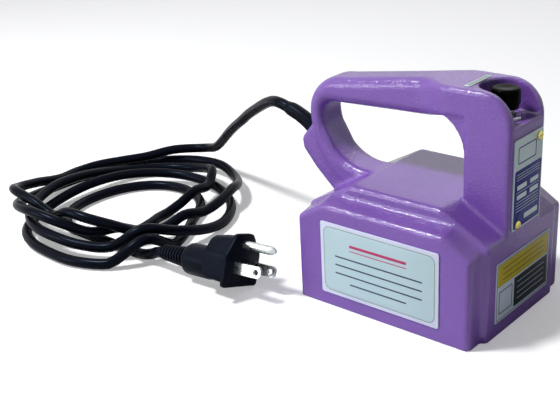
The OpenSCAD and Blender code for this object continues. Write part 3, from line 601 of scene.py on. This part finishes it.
def cast_block(rear, front, width, height, run, drop, rows):
    """A block with sloped ends. Its top passes through rows of (distance from the middle, extra height)."""
    slope = math.atan2(drop, run)
    low = height - drop - EDGE * (1 - math.sin(slope)) / math.cos(slope)
    inset = run + EDGE * (1 - math.cos(slope)) / math.sin(slope)
    points = []
    for end, reach in ((-1, rear), (1, front)):
        for side in (-1, 1):
            points += disc((end * (reach - EDGE), side * (width / 2 - EDGE), 0), EDGE)
            for y, rise in rows:
                points += ball((end * (reach - EDGE), side * y, low + rise), EDGE)
                points += ball((end * (reach - inset), side * y, height - EDGE + rise), EDGE)
    return hull(points)


block_row = BLOCK_WIDTH / 2 - EDGE
centre_block = cast_block(REAR, FRONT, BLOCK_WIDTH, BLOCK_HEIGHT, BLOCK_RUN, BLOCK_DROP, [(block_row, 0)])
side_slabs = cast_block(SLAB_REAR, SLAB_FRONT, BODY_WIDTH, SLAB_HEIGHT, SLAB_RUN, SLAB_DROP,
    [(BODY_WIDTH / 2 - EDGE, 0), (block_row, SLAB_RISE)])
print("block and slab faces:", len(centre_block.polygons), len(side_slabs.polygons))

# %% [markdown]
# The handle is one loft. Every ring is a rounded rectangle that stands on the line from the hand hole's edge
# to the outline, so the grip can widen into the head, bend round the rear corner and come down behind the
# hole without a seam. The head and the boss are hulls again, and a small web rounds the hole's front corner.

# %% Handle
HEAD, POST_WIDTH, POST_EDGE = 117.5, 33.4, 2.2
GRIP_WIDTH, GRIP_EDGE, GRIP_HEIGHT, UNDERSIDE, GRIP_TILT = 21.0, 5.6, 13.8, 95.7, 0.045
HOLE_REAR, REAR_POST, OUTER_CORNER, INNER_CORNER = 61.0, 8.0, 19.5, 6.6
HOLE_CENTRE, HOLE_RADIUS = (-33.2, 90.2), 27.8
GRIP_REAR = OUTER_CORNER - HOLE_REAR - REAR_POST
HEAD_END, SLIMMEST = 4, 6.05


def under(x):
    return UNDERSIDE + (x - GRIP_REAR) * GRIP_TILT


def top_line(x):
    return HEAD - (HEAD - UNDERSIDE - GRIP_HEIGHT) * max(0.0, HEAD_END - x) / (HEAD_END - GRIP_REAR)


def handle_ring(inner, outer, half_width=GRIP_WIDTH / 2, radius=GRIP_EDGE):
    """A rounded rectangle between two points of the side view, as wide as the handle."""
    height = math.dist(inner, outer)
    radius = min(radius, height / 2 - 0.2)
    ahead = ((outer[0] - inner[0]) / height, (outer[1] - inner[1]) / height)
    return [(inner[0] + ahead[0] * h, w, inner[1] + ahead[1] * h)
        for w, h in rounded(2 * half_width, height, radius, (0, height / 2), 6)]


inner_corner = (INNER_CORNER - HOLE_REAR, UNDERSIDE - INNER_CORNER)
outer_corner = (GRIP_REAR, UNDERSIDE + GRIP_HEIGHT - OUTER_CORNER)
handle_rings = [handle_ring((x, under(min(x, 20)) + 0.8 * spread), (x, top_line(x)), POST_WIDTH / 2 - slim,
    POST_EDGE + slim * (GRIP_EDGE - POST_EDGE) / SLIMMEST)
    for x, spread, slim in ((36, 5.2, 0), (20, 5.2, 0), (16, 4.4, 0.4), (11, 2.6, 2.6), (6, 0.8, 4.9),
    (1, 0, SLIMMEST))]
handle_rings += [handle_ring((x, under(x)), (x - 1.5, top_line(x - 1.5))) for x in (-10, -22, -34, -45)]
handle_rings += [handle_ring(arc_point(inner_corner, INNER_CORNER, a),
    arc_point(outer_corner, OUTER_CORNER, a)) for a in np.linspace(98, 180, 11)]
handle_rings += [handle_ring(arc_point(HOLE_CENTRE, HOLE_RADIUS, a), arc_point(HOLE_CENTRE,
    HOLE_RADIUS + REAR_POST + ((a - 180) / 28) ** 2, a), GRIP_WIDTH / 2, REAR_POST / 2)
    for a in np.linspace(190, 282, 17)]
handle = loft(handle_rings)
print("handle rings:", len(handle_rings), "faces:", len(handle.polygons))

# %% Head, web and boss
POST_REAR, POST_FOOT, NOSE = 29.2, 43, 16.5
WEB_RADIUS, WEB_LOW, WEB_IN, WEB_HALF = 20.5, HEAD - 33.3, 12, 15.6
BOSS_OUTLINE = ((-64.4, 82.1), (-72.4, 72.4), (-72, 68.4), (-63.6, 58.6), (-52, 48), (-46, 54), (-53.6, 66),
    (-61, 78.6))
BOSS_HALF, BOSS_EDGE = 7.4, 2.6
head_points = []
for side in (-1, 1):
    y = side * (POST_WIDTH / 2 - POST_EDGE)
    for x in (POST_REAR + POST_EDGE, FRONT - POST_EDGE):
        head_points += disc((x, y, POST_FOOT), POST_EDGE)
    head_points += ball((POST_REAR + POST_EDGE, y, HEAD - POST_EDGE), POST_EDGE)
    for a in np.linspace(0, 90, 11):
        x, z = arc_point((FRONT - NOSE, HEAD - NOSE), NOSE - POST_EDGE, a)
        head_points += ball((x, y, z), POST_EDGE)
head = hull(head_points)
web_outline = [arc_point((POST_REAR - WEB_RADIUS, WEB_LOW), WEB_RADIUS, a) for a in np.linspace(0, 65, 17)]
web_outline += [(POST_REAR - WEB_IN, HEAD - WEB_IN), (POST_REAR + 1, HEAD - WEB_IN), (POST_REAR + 1, WEB_LOW)]
web = loft([[(x, y, z) for x, z in web_outline] for y in (-WEB_HALF, WEB_HALF)])
boss = hull([point for x, z in BOSS_OUTLINE for y in (-BOSS_HALF, BOSS_HALF)
    for point in ball((x, y, z), BOSS_EDGE)])
print("head, web and boss faces:", [len(mesh.polygons) for mesh in (head, web, boss)])

# %% [markdown]
# The switch pocket, the bore for the cord and the rooms inside are cut out of each body before the bodies
# are joined, which keeps every cut simple.

# %% Cuts
BUTTON_X, POCKET_FLOOR, POCKET_WIDTH, ABOVE = 41.7, 102.0, 24.4, 140
BOSS_TILT, BORE_RADIUS, SLEEVE_DEPTH = math.radians(36.5), 4.4, 6
into_boss = Vector((math.cos(BOSS_TILT), 0, -math.sin(BOSS_TILT)))
bore_start = EXIT / MM - SLEEVE_DEPTH * into_boss


def shaft(low, radius, count=48):
    """A round room at the button, from low up to above the head."""
    return disc((BUTTON_X, 0, low), radius, count=count) + disc((BUTTON_X, 0, ABOVE), radius, count=count)


CUTTERS = {
    "seat of the base plate": box((-49.1, -38.85, -1), (49.1, 38.85, 3)),
    "main room": box((-45.5, -36.95, 0), (45.5, 36.95, 44)),
    "room over the core": box((-28.5, -26, 43), (28.5, 26, 56)),
    "room at the cord": box((-38, -9, 43), (-26, 9, 54)),
    "way for the switch leads": box((27.5, -7, 43), (37.5, 7, 52)),
    "switch room": box((BUTTON_X - 8.4, -8.4, 43), (BUTTON_X + 8.4, 8.4, 97.4)),
    "hole for the barrel": shaft(96.4, 4.9),
    "seat of the nut": shaft(100.8, 8.5),
    "pocket": shaft(POCKET_FLOOR, POCKET_WIDTH / 2, 64),
    "pocket's open front": box((BUTTON_X, -POCKET_WIDTH / 2, POCKET_FLOOR),
        (BUTTON_X + 40, POCKET_WIDTH / 2, ABOVE)),
    "bore for the cord": disc(bore_start, BORE_RADIUS, into_boss, 32)
        + disc(bore_start + 56 * into_boss, BORE_RADIUS, into_boss, 32)}
cutter_objects = [add_object(name, hull(points)) for name, points in CUTTERS.items()]


def cut_body(mesh):
    """The body with every cutter taken away."""
    body = add_object("body", mesh)
    for cutter in cutter_objects:
        cut = body.modifiers.new("cut", "BOOLEAN")
        cut.operation = "DIFFERENCE"
        cut.solver = "MANIFOLD"
        cut.object = cutter
    return finished_mesh(body)


cut_bodies = [cut_body(mesh) for mesh in (centre_block, side_slabs, handle, head, web, boss)]
for cutter in cutter_objects:
    bpy.data.objects.remove(cutter)
print("cuts:", len(CUTTERS), "faces left:", [len(mesh.polygons) for mesh in cut_bodies])

# %% [markdown]
# Then the casting is rebuilt from small cubes of equal size, which joins all bodies into one skin. Its points
# are moved towards their neighbours' middle: a few times for all, and more often for those in hollows, which
# only move outwards. So outer edges stay crisp, and inner corners get the fillets that a cast part has.

# %% Housing
CUBE, ROUNDS, FILL_ROUNDS = ((0.7, 3, 12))
FULL_STEP = 5e-6


def read(collection, key, kind=float):
    """All values of one property as rows, one for each vertex or edge."""
    count = 3 if kind is float else 2
    values = np.empty(len(collection) * count, dtype=kind)
    collection.foreach_get(key, values)
    return values.reshape(-1, count)


def relaxed(mesh, keep, rounds, fill_only=False):
    """Moves each point towards its neighbours' middle, less where keep is near 1.

    With fill_only a point moves only outwards, so hollows fill up and outer edges stay.
    """
    points, normals = read(mesh.vertices, "co"), read(mesh.vertices, "normal")
    edges = read(mesh.edges, "vertices", np.int64)
    count = len(points)
    degree = np.bincount(edges.ravel(), minlength=count)[:, None]
    move = (0.5 * (1 - keep(points)))[:, None]
    for _ in range(rounds):
        total = np.zeros_like(points)
        for axis in range(3):
            for here, there in ((0, 1), (1, 0)):
                total[:, axis] += np.bincount(edges[:, here], points[edges[:, there], axis], count)
        step = total / degree - points
        if fill_only:
            step *= np.clip((step * normals).sum(axis=1) / FULL_STEP, 0, 1)[:, None]
        points += move * step
    mesh.vertices.foreach_set("co", points.ravel())
    mesh.update()


def crisp_places(points):
    """1 at the underside's rim, and 0.5 in the switch pocket, where the casting is machined."""
    low = np.clip((0.0042 - points[:, 2]) / 0.003, 0, 1)
    pocket = (np.abs(points[:, 0] - BUTTON_X * MM) < 0.0129) & (np.abs(points[:, 1]) < 0.0128) \
        & (points[:, 2] > 0.1004)
    return np.maximum(low, 0.5 * pocket)


rough_cast = add_object("rough_cast", join_meshes(cut_bodies))
remesh = rough_cast.modifiers.new("even_skin", "REMESH")
remesh.mode = "VOXEL"
remesh.voxel_size = CUBE * MM
cast_mesh = finished_mesh(rough_cast)
relaxed(cast_mesh, crisp_places, ROUNDS)
relaxed(cast_mesh, crisp_places, FILL_ROUNDS, fill_only=True)
shade_by_angle(cast_mesh, 180)
add_piece("housing_casting", cast_mesh, [ENAMEL], "paint", "housing")

# %% [markdown]
# ## Push button, nut and spring
# The button is a turned cap with a rounded edge and a shallow dish for the fingertip. It stands over a hex
# nut, and a coil spring shows between the two. The cap moves down three millimetres, and the real spring
# gets shorter with it, but here the spring keeps its shape.

# %% Push button
BUTTON_TOP, SKIRT_LOW, CAP_RADIUS, CAP_EDGE = 116.4, 106.6, 6.8, 1.3
SKIRT = [(5.1, 0.1), (5.3, 0), (6.1, 0), (6.2, 0.1), (6.2, 2.3), (6.65, 2.4), (CAP_RADIUS, 2.6)]
DISH = [(4.2, 0.02), (3.2, 0.12), (2.1, 0.24), (1.0, 0.31), (0, 0.33)]
cap_profile = [(0, 113.3), (5.0, 113.3), (5.1, 113.2)] + [(r, SKIRT_LOW + h) for r, h in SKIRT]
cap_profile += [arc_point((CAP_RADIUS - CAP_EDGE, BUTTON_TOP - CAP_EDGE), CAP_EDGE, a)
    for a in np.linspace(0, 90, 9)]
cap_profile += [(r, BUTTON_TOP - depth) for r, depth in DISH]
add_piece("push_button_cap", lathe(cap_profile, (BUTTON_X, 0, 0)), [BUTTON_BLACK], "button", "button_cap",
    body="button")

# %% Nut and threaded barrel
NUT_LOW, NUT_HIGH, NUT_WIDTH, BARREL = 100.8, 103.2, 14, 9.6
hexagon = circle((0, 0), NUT_WIDTH / 2 / math.cos(math.pi / 6), 6)
nut_mesh = outline_plate([hexagon, circle((0, 0), BARREL / 2 + 0.1, 48)], NUT_LOW, NUT_HIGH, 0.3,
    Matrix.Translation((BUTTON_X * MM, 0, 0)))
add_piece("barrel_nut", nut_mesh, [STEEL], "steel", "switch_nut")

# %% Return spring
SPRING_LOW, SPRING_HIGH, SPRING_TURNS, SPRING_WIRE, SPRING_WIDTH = 103.8, 113.4, 6, 0.76, 7.6
SPRING_END, STEPS_PER_TURN = 0.4, 28
spring_foot = SPRING_LOW + SPRING_END
spring_pitch = (SPRING_HIGH - SPRING_END - spring_foot) / SPRING_TURNS
spring_line = [(*arc_point((BUTTON_X, 0), SPRING_WIDTH / 2, 360 * t), spring_foot + spring_pitch * t)
    for t in np.arange(SPRING_TURNS * STEPS_PER_TURN + 1) / STEPS_PER_TURN]
spring_mesh = finished_mesh(curve_tube("spring_curve", spring_line, SPRING_WIRE / 2, 3))
button_spring = add_piece("button_spring", spring_mesh, [STEEL], "steel", "return_spring")
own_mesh(button_spring)

# %% [markdown]
# ## Printed plates
# Three plates and a thin strip sit on the casting: a bare data plate on the front post, a pale plate on the
# long side, a colour label on the end face and the strip on the head. Prints could be a texture, but texture
# edges go soft close up. Here each colour field is a very thin raised sheet on the plate, so every edge stays
# sharp. The fields are plain: borders, boxes and ruled lines with nothing written in them.

# %% Plate helpers
INK = 0.05


def plate_frame(origin, across, upward):
    """The matrix that lays a flat drawing on a face, with its back on the face."""
    x, y = Vector(across), Vector(upward)
    return Matrix.Translation(Vector(origin) * MM) @ Matrix((x, y, x.cross(y))).transposed().to_4x4()


def ink(number, *outlines, rise=1.0, edge=0.005, sunk=0.0):
    """One printed field in the material with this number, so many thicknesses of ink high."""
    return outlines, -sunk, rise * INK, edge, number


def field(number, *outlines):
    return ink(number, *outlines, edge=0.01, sunk=0.02)


def rule(number, width, height, centre, radius, rise=1.7):
    """A ruled line."""
    return ink(number, rounded(width, height, radius, centre, 2), rise=rise)


def border(number, width, height, radius, line, inner_radius, centre=(0, 0), **settings):
    """A line round a field."""
    inside = rounded(width - 2 * line, height - 2 * line, inner_radius, centre)
    return ink(number, rounded(width, height, radius, centre), inside, **settings)


def make_plate(name, node_name, slot_name, materials, thick, edge, outlines, prints, lay):
    """A plate with its prints on top, as one piece."""
    meshes = [outline_plate(outlines, 0, thick, edge, lay)]
    meshes += [outline_plate(shapes, thick + low, thick + high, soft, lay, number)
        for shapes, low, high, soft, number in prints]
    add_piece(name, join_meshes(meshes), materials, slot_name, node_name)


# %% Side plate
SIDE_WIDTH, SIDE_HEIGHT, SIDE_LOW, SIDE_THICK = 70.0, 39.5, 7.4, 0.6
side_prints = [field(1, rounded(SIDE_WIDTH - 4.2, SIDE_HEIGHT - 4.2, 3.6)),
    border(2, SIDE_WIDTH - 4.0, SIDE_HEIGHT - 4.0, 3.7, 0.35, 3.35, rise=1.6)]
side_prints += [rule(number, width, height, (0, middle), height * 0.45, 1.6)
    for number, middle, width, height in ((4, 9.9, 34, 1.5), (4, 7.3, 34, 0.5), (3, 2.4, 52, 0.8),
    (3, -2.2, 52, 0.8), (3, -6.8, 52, 0.8), (3, -11.4, 34, 0.8))]
make_plate("side_plate_sheet", "side_plate", "plate",
    [PLATE_MARGIN, PLATE_PALE, PRINT_GREY, PRINT_DARK, PRINT_RED], SIDE_THICK, 0.15,
    [rounded(SIDE_WIDTH, SIDE_HEIGHT, 1.2)], side_prints,
    plate_frame((0, -BODY_WIDTH / 2, SIDE_LOW + SIDE_HEIGHT / 2), (1, 0, 0), (0, 0, 1)))

# %% Data plate
DATA_WIDTH, DATA_HEIGHT, DATA_LOW, DATA_THICK = 26.8, 45.0, 51.0, 0.8
DRIVE_SCREWS = [(10, DATA_LOW + 41.4), (-8.5, DATA_LOW + 2.2)]
data_holes = [circle((y, z - DATA_LOW - DATA_HEIGHT / 2), 1.1) for y, z in DRIVE_SCREWS]
data_prints = [field(1, rounded(DATA_WIDTH - 1.6, 29.2, 0.8, (0, -7.2)), circle((-8.5, -20.3), 1.3)),
    border(1, 17.0, 8.4, 1.0, 0.6, 0.5, (-1.6, 14.4), edge=0.01)]
data_prints += [ink(0, rounded(width, height, 0.4, (y, z), 3), rise=1.7, edge=0.01)
    for y, z, width, height in ((-5.6, -1.4, 9.0, 2.3), (6.2, -1.4, 8.0, 2.3), (-5.6, -6.2, 9.0, 2.3),
    (6.2, -6.2, 8.0, 2.3), (4.0, -17.6, 13.0, 2.6))]
data_prints += [rule(0, 21.6, 0.25, (0, z), 0.1) for z in (5.2, 3.9, 2.6, -3.8, -8.8, -10.3, -11.8, -13.3)]
make_plate("data_plate_sheet", "data_plate", "plate", [PLATE_SILVER, PLATE_BLUE], DATA_THICK, 0.12,
    [rounded(DATA_WIDTH, DATA_HEIGHT, 1.2)] + data_holes, data_prints,
    plate_frame((FRONT, 0, DATA_LOW + DATA_HEIGHT / 2), (0, 1, 0), (0, 0, 1)))

# %% End label
LABEL_WIDTH, LABEL_HEIGHT, LABEL_LOW, LABEL_THICK = 52.0, 31.6, 7.2, 0.3
label_prints = [field(1, rounded(LABEL_WIDTH - 3.0, 11.4, 0.4, (0, 8.6))),
    field(2, rounded(33.0, 15.6, 0.4, (8.0, -5.9))),
    border(2, LABEL_WIDTH - 1.8, LABEL_HEIGHT - 1.8, 0.6, 0.3, 0.4),
    border(2, 12.6, 12.0, 0.6, 0.5, 0.4, (-16.6, -5.9))]
label_prints += [rule(2, 40, 0.4, (0, z), 0.15) for z in (11.4, 8.6, 5.8)]
label_prints += [rule(0, 27, 0.3, (8.0, z), 0.1) for z in (-1.2, -4.2, -7.2, -10.2)]
make_plate("end_label_film", "end_label", "label", [LABEL_PALE, LABEL_YELLOW, LABEL_BLACK], LABEL_THICK, 0.06,
    [rounded(LABEL_WIDTH, LABEL_HEIGHT, 0.8)], label_prints,
    plate_frame((FRONT, 0.5, LABEL_LOW + LABEL_HEIGHT / 2), (0, 1, 0), (0, 0, 1)))

# %% Strip on the head
STRIP_X, STRIP_WIDTH, STRIP_LENGTH, STRIP_THICK = 26.4, 2.9, 21.0, 0.3
make_plate("head_strip_film", "top_strip", "plate", [PLATE_SILVER, PRINT_GREY], STRIP_THICK, 0.06,
    [rounded(STRIP_LENGTH, STRIP_WIDTH, 0.5)],
    [field(1, rounded(STRIP_LENGTH - 3.0, STRIP_WIDTH - 1.3, 0.3))],
    plate_frame((STRIP_X + STRIP_WIDTH / 2, -1.5, HEAD), (0, 1, 0), (-1, 0, 0)))

# %% Drive screws
DOME_RADIUS, DOME_FOOT, DOME_HEIGHT = 2.2, 1.0, 1.15
dome = [(1.0, -3.4), (1.0, 0.8), (2.1, 0.82), (DOME_RADIUS, DOME_FOOT)]
dome += [(DOME_RADIUS * math.cos(a), DOME_FOOT + DOME_HEIGHT * math.sin(a))
    for a in np.linspace(0.12, math.pi / 2, 8)[:-1]] + [(0, DOME_FOOT + DOME_HEIGHT)]
for number, (y, z) in enumerate(DRIVE_SCREWS):
    add_piece(f"drive_screw_{number + 1}", lathe(dome, (FRONT, y, z), (1, 0, 0), 32), [BRASS], "brass",
        "drive_screws")

# %% [markdown]
# ## Cord sleeve and plug
# A rubber sleeve holds the cord where it leaves the boss: a little thicker than the cord, slightly tapered,
# and drawn in at its open end. The plug is one moulding: a thin flange, a body shaped like a house with a
# sloping roof, a round barrel and a ribbed relief. A loft through rings fits it well, because all rings can
# have the same number of points even where the section changes from a house to a circle.

# %% Sleeve
SLEEVE_RADII = [4.3, 4.3, 4.28, 4.2, 4.12, 4.05, 4.0, 4.0, 3.95, 3.3]


def along_route(points, radii, sides=32):
    """Rings round a smooth path through the points, with the radii at equal steps."""
    line = smooth_route(points, 6)
    radii = np.interp(np.linspace(0, 1, len(line)), np.linspace(0, 1, len(radii)), radii)
    rings = []
    for k, spot in enumerate(line):
        ahead = line[min(k + 1, len(line) - 1)] - line[max(k - 1, 0)]
        ahead /= np.linalg.norm(ahead)
        side = np.cross(ahead, (0, 1, 0))
        side /= np.linalg.norm(side)
        other = np.cross(ahead, side)
        rings.append([spot + c * side + s * other for c, s in circle((0, 0), radii[k], sides)])
    return rings


sleeve_start = Vector(SLEEVE_ROUTE[0]) + SLEEVE_DEPTH * into_boss
sleeve_rings = along_route([tuple(sleeve_start)] + SLEEVE_ROUTE, SLEEVE_RADII)
add_piece("cord_sleeve", loft(sleeve_rings), [BLACK_RUBBER], "cord", "strain_sleeve")

# %% Sections of the plug
PLUG_POINTS = 64
EAVES, RIDGE, BARREL_START = (math.degrees(a) for a in (0.9, 0.55, 6 / 14))


def even_outline(points, count):
    """The same outline with equally spaced points, starting at its first point."""
    closed = np.array(points + points[:1])
    steps = np.linalg.norm(np.diff(closed, axis=0), axis=1)
    travelled = np.concatenate([[0], np.cumsum(steps)])
    wanted = np.linspace(0, travelled[-1], count, endpoint=False)
    return [(np.interp(d, travelled, closed[:, 0]), np.interp(d, travelled, closed[:, 1])) for d in wanted]


def house(grow, roof=0.0, corner=1.6):
    """The plug's section: flat below, upright sides, and a roof that narrows to a round top."""
    side, top, foot = 12.2 + grow, 13.6 + grow - roof, -8.4 - grow
    corners = (((side, 6), corner, 0, EAVES), ((5, top), 3.4, RIDGE, 90), ((-5, top), 3.4, 90, 180 - RIDGE),
        ((-side, 6), corner, 180 - EAVES, 180), ((-side, foot), corner, 180, 270),
        ((side, foot), corner, 270, 360))
    return even_outline([arc_point(centre, radius, a) for centre, radius, first, last in corners
        for a in np.linspace(first, last, 7)], PLUG_POINTS)


def barrel(radius):
    """A circle whose first point stands where the house's first point is."""
    return [arc_point((0, PLUG_AXIS_DROP), radius, 360 * s / PLUG_POINTS + BARREL_START)
        for s in range(PLUG_POINTS)]


def mixed(first, second, share):
    return [tuple((1 - share) * np.array(a) + share * np.array(b)) for a, b in zip(first, second)]


print("points in each section:", len(house(0)), len(barrel(8.9)))

# %% Plug moulding
RIBS, RIB_PITCH, RIB_START = 8, 2.2, -37.6
plug_rings = [(u, house(*sizes)) for u, *sizes in ((0, 0.2), (-0.1, 0.5), (-0.4, 0.7), (-2.2, 0.7),
    (-2.5, 0.5), (-2.6, 0.2), (-2.7, -1.0), (-3.2, -1.35), (-4, -1.4), (-9, -1.6), (-15.6, -1.9, 0.4),
    (-17.6, -2.2, 1.6))]
plug_rings += [(-18.6, mixed(house(-3.0, 3.4), barrel(8.9), 0.35)),
    (-19.2, mixed(house(-3.4, 4.4), barrel(8.9), 0.8))]
plug_rings += [(u, barrel(radius)) for u, radius in ((-19.8, 8.9), (-21, 8.9), (-34, 8.8), (-35.4, 8.5),
    (-36.4, 7.8), (-37, 6.6), (-37.3, 5.9))]
for k in range(RIBS):
    high, low, start = 5.9 - 0.2 * k, 4.9 - 0.14 * k, RIB_START - RIB_PITCH * k
    plug_rings += [(start - step, barrel(radius))
        for step, radius in ((0, high), (1.1, high - 0.05), (1.25, low), (2.05, low))]
plug_rings += [(-55.4, barrel(4.2)), (RELIEF_END, barrel(3.9))]
plug_mesh = loft([[(u, v, w) for v, w in ring] for u, ring in plug_rings], lambda q: plug_point(*q), 32)
add_piece("plug_moulding", plug_mesh, [PLUG_BLACK], "plug", "plug_body")

# %% Blades and ground pin
BLADE_LENGTH, BLADE_THICK, BLADE_WIDTH, BLADE_PITCH, PIN_DROP = 17.5, 1.5, 6.3, 12.7, 11.9
upper_half = [(BLADE_LENGTH, BLADE_WIDTH / 2 - 2.0), (BLADE_LENGTH - 0.5, BLADE_WIDTH / 2 - 0.9),
    (BLADE_LENGTH - 1.7, BLADE_WIDTH / 2), (-5, BLADE_WIDTH / 2)]
blade = [(x, -y) for x, y in reversed(upper_half)] + upper_half
blade_hole = circle((BLADE_LENGTH - 3.4, 0), 1.5)
blade_turn = PLUG_TURN.to_4x4() @ Matrix(((1, 0, 0, 0), (0, 0, -1, 0), (0, 1, 0, 0), (0, 0, 0, 1)))
for number, side in enumerate((-1, 1)):
    blade_place = Matrix.Translation(plug_point(0, side * BLADE_PITCH / 2, 0) * MM) @ blade_turn
    blade_mesh = outline_plate([blade, blade_hole], -BLADE_THICK / 2, BLADE_THICK / 2, 0.18, blade_place)
    add_piece(f"flat_blade_{number + 1}", blade_mesh, [NICKEL], "pin_metal", "plug_blades")
pin_profile = [(2.4, -5), (2.4, 17.6), (2.34, 18.0), (1.5, 19.6), (1.0, 20.3), (0.5, 20.55), (0, 20.6)]
pin_mesh = lathe(pin_profile, plug_point(0, 0, PIN_DROP), PLUG_TURN.col[0], 48)
add_piece("round_ground_pin", pin_mesh, [NICKEL], "pin_metal", "ground_pin")

mains_cord.data.materials.append(BLACK_JACKET)
declare(mains_cord, "tool", "cord", "cord_run", "cord_coil", "cord_tail")

# %% [markdown]
# ## Working face and inner parts
# Turned over, the tool shows a satin base plate with six countersunk screws and two windows where the
# core's poles come through. The coils, leads and switch are inside and keep their CAD shapes. All of them
# get the finish of the real thing.

# %% Dress the CAD nodes
DRESS = ((ALUMINIUM, "base_plate", "clamp_bar"), (IRON, "core"), (COPPER, "winding_front", "winding_rear"),
    (STEEL, "base_screws", "core_bolts", "saddle_screws", "lock_washer"),
    (NYLON, "bobbin_front", "bobbin_rear", "terminal_block", "cord_saddle", "plunger"),
    (BRASS, "terminal_screws", "earth_ring", "earth_screw"), (BLACK_JACKET, "inner_cord"),
    (LEAD_SKIN, "mains_leads", "coil_leads", "switch_leads"), (PHENOLIC, "switch_body"))
for material, *names in DRESS:
    for name in names:
        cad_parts[name].data.materials.clear()
        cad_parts[name].data.materials.append(material)
print("dressed nodes:", sum(len(names) for _, *names in DRESS))

# %% [markdown]
# ## Floor and light
# The photograph is a cut-out on white, lit from the upper left. A white floor with a little extra glow for
# the camera gives the white, and still shows the shadow. One small strong lamp draws the narrow highlights
# along the casting's edges, where the paint's peel breaks them up. Two larger and weaker lamps lift the
# shadows. The world is dim for the object, but white for the camera and in reflections.

# %% Floor
FLOOR_HALF, FLOOR_DROP, FLOOR_GLOW = 6.0, 0.0002, 0.3
floor_mesh = bpy.data.meshes.new("studio_floor")
floor_mesh.from_pydata([(x * FLOOR_HALF, y * FLOOR_HALF, 0) for x, y in ((-1, -1), (1, -1), (1, 1), (-1, 1))],
    [], [(0, 1, 2, 3)])
studio_floor = add_object("studio_floor", floor_mesh)
studio_floor.location.z = -FLOOR_DROP
floor_paint, tree, shader = new_material("studio_floor")
set_inputs(shader, Base_Color=(0.86, 0.86, 0.87, 1), Roughness=0.9, Specular_IOR_Level=0.1,
    Emission_Color=(1, 1, 1, 1))
path = node(tree, "ShaderNodeLightPath")
glow = node(tree, "ShaderNodeMath", [(path.outputs["Is Camera Ray"], 0)], operation="MULTIPLY")
glow.inputs[1].default_value = FLOOR_GLOW
tree.links.new(glow.outputs[0], shader.inputs["Emission Strength"])
floor_mesh.materials.append(floor_paint)
print("floor ready:", 2 * FLOOR_HALF, "m wide")


# %% Lamps
def area_lamp(name, place, size, power, colour=(1, 1, 1), aim=(-0.06, 0, 0.05)):
    """A lamp that looks at the middle of the scene. Sizes are in metres, power is in watts."""
    data = bpy.data.lights.new(name, "AREA")
    data.shape = "RECTANGLE"
    data.size, data.size_y = size
    data.energy = power
    data.color = colour
    made = add_object(name, data)
    made.location = place
    made.rotation_euler = (Vector(aim) - Vector(place)).to_track_quat("-Z", "Y").to_euler()


area_lamp("key_lamp", (-0.46, -0.48, 1.04), (0.2, 0.16), 12.5)
area_lamp("fill_lamp", (-0.8, -1.0, 0.4), (0.4, 0.4), 5.0, (0.94, 0.96, 1.0))
area_lamp("back_lamp", (-0.3, 0.9, 0.9), (0.7, 0.4), 1.6, (0.96, 0.97, 1.0))
print("lamps:", len(bpy.data.lights))

# %% World
world = bpy.data.worlds.new("studio")
bpy.context.scene.world = world
world.use_nodes = True
tree = world.node_tree
dim = tree.nodes["Background"]
set_inputs(dim, Color=(0.95, 0.97, 1.0, 1), Strength=0.12)
white = node(tree, "ShaderNodeBackground", Strength=1.0, Color=(1, 1, 1, 1))
path = node(tree, "ShaderNodeLightPath")
direct = node(tree, "ShaderNodeMath",
    [(path.outputs["Is Camera Ray"], 0), (path.outputs["Is Transmission Ray"], 1)], operation="MAXIMUM")
shown = node(tree, "ShaderNodeMath", [(direct.outputs[0], 0), (path.outputs["Is Glossy Ray"], 1)],
    operation="MAXIMUM")
chosen = node(tree, "ShaderNodeMixShader",
    [(shown.outputs[0], 0), (dim.outputs[0], 1), (white.outputs[0], 2)])
tree.links.new(chosen.outputs[0], tree.nodes["World Output"].inputs["Surface"])
bpy.context.scene.view_settings.view_transform = "Standard"
print("world ready")
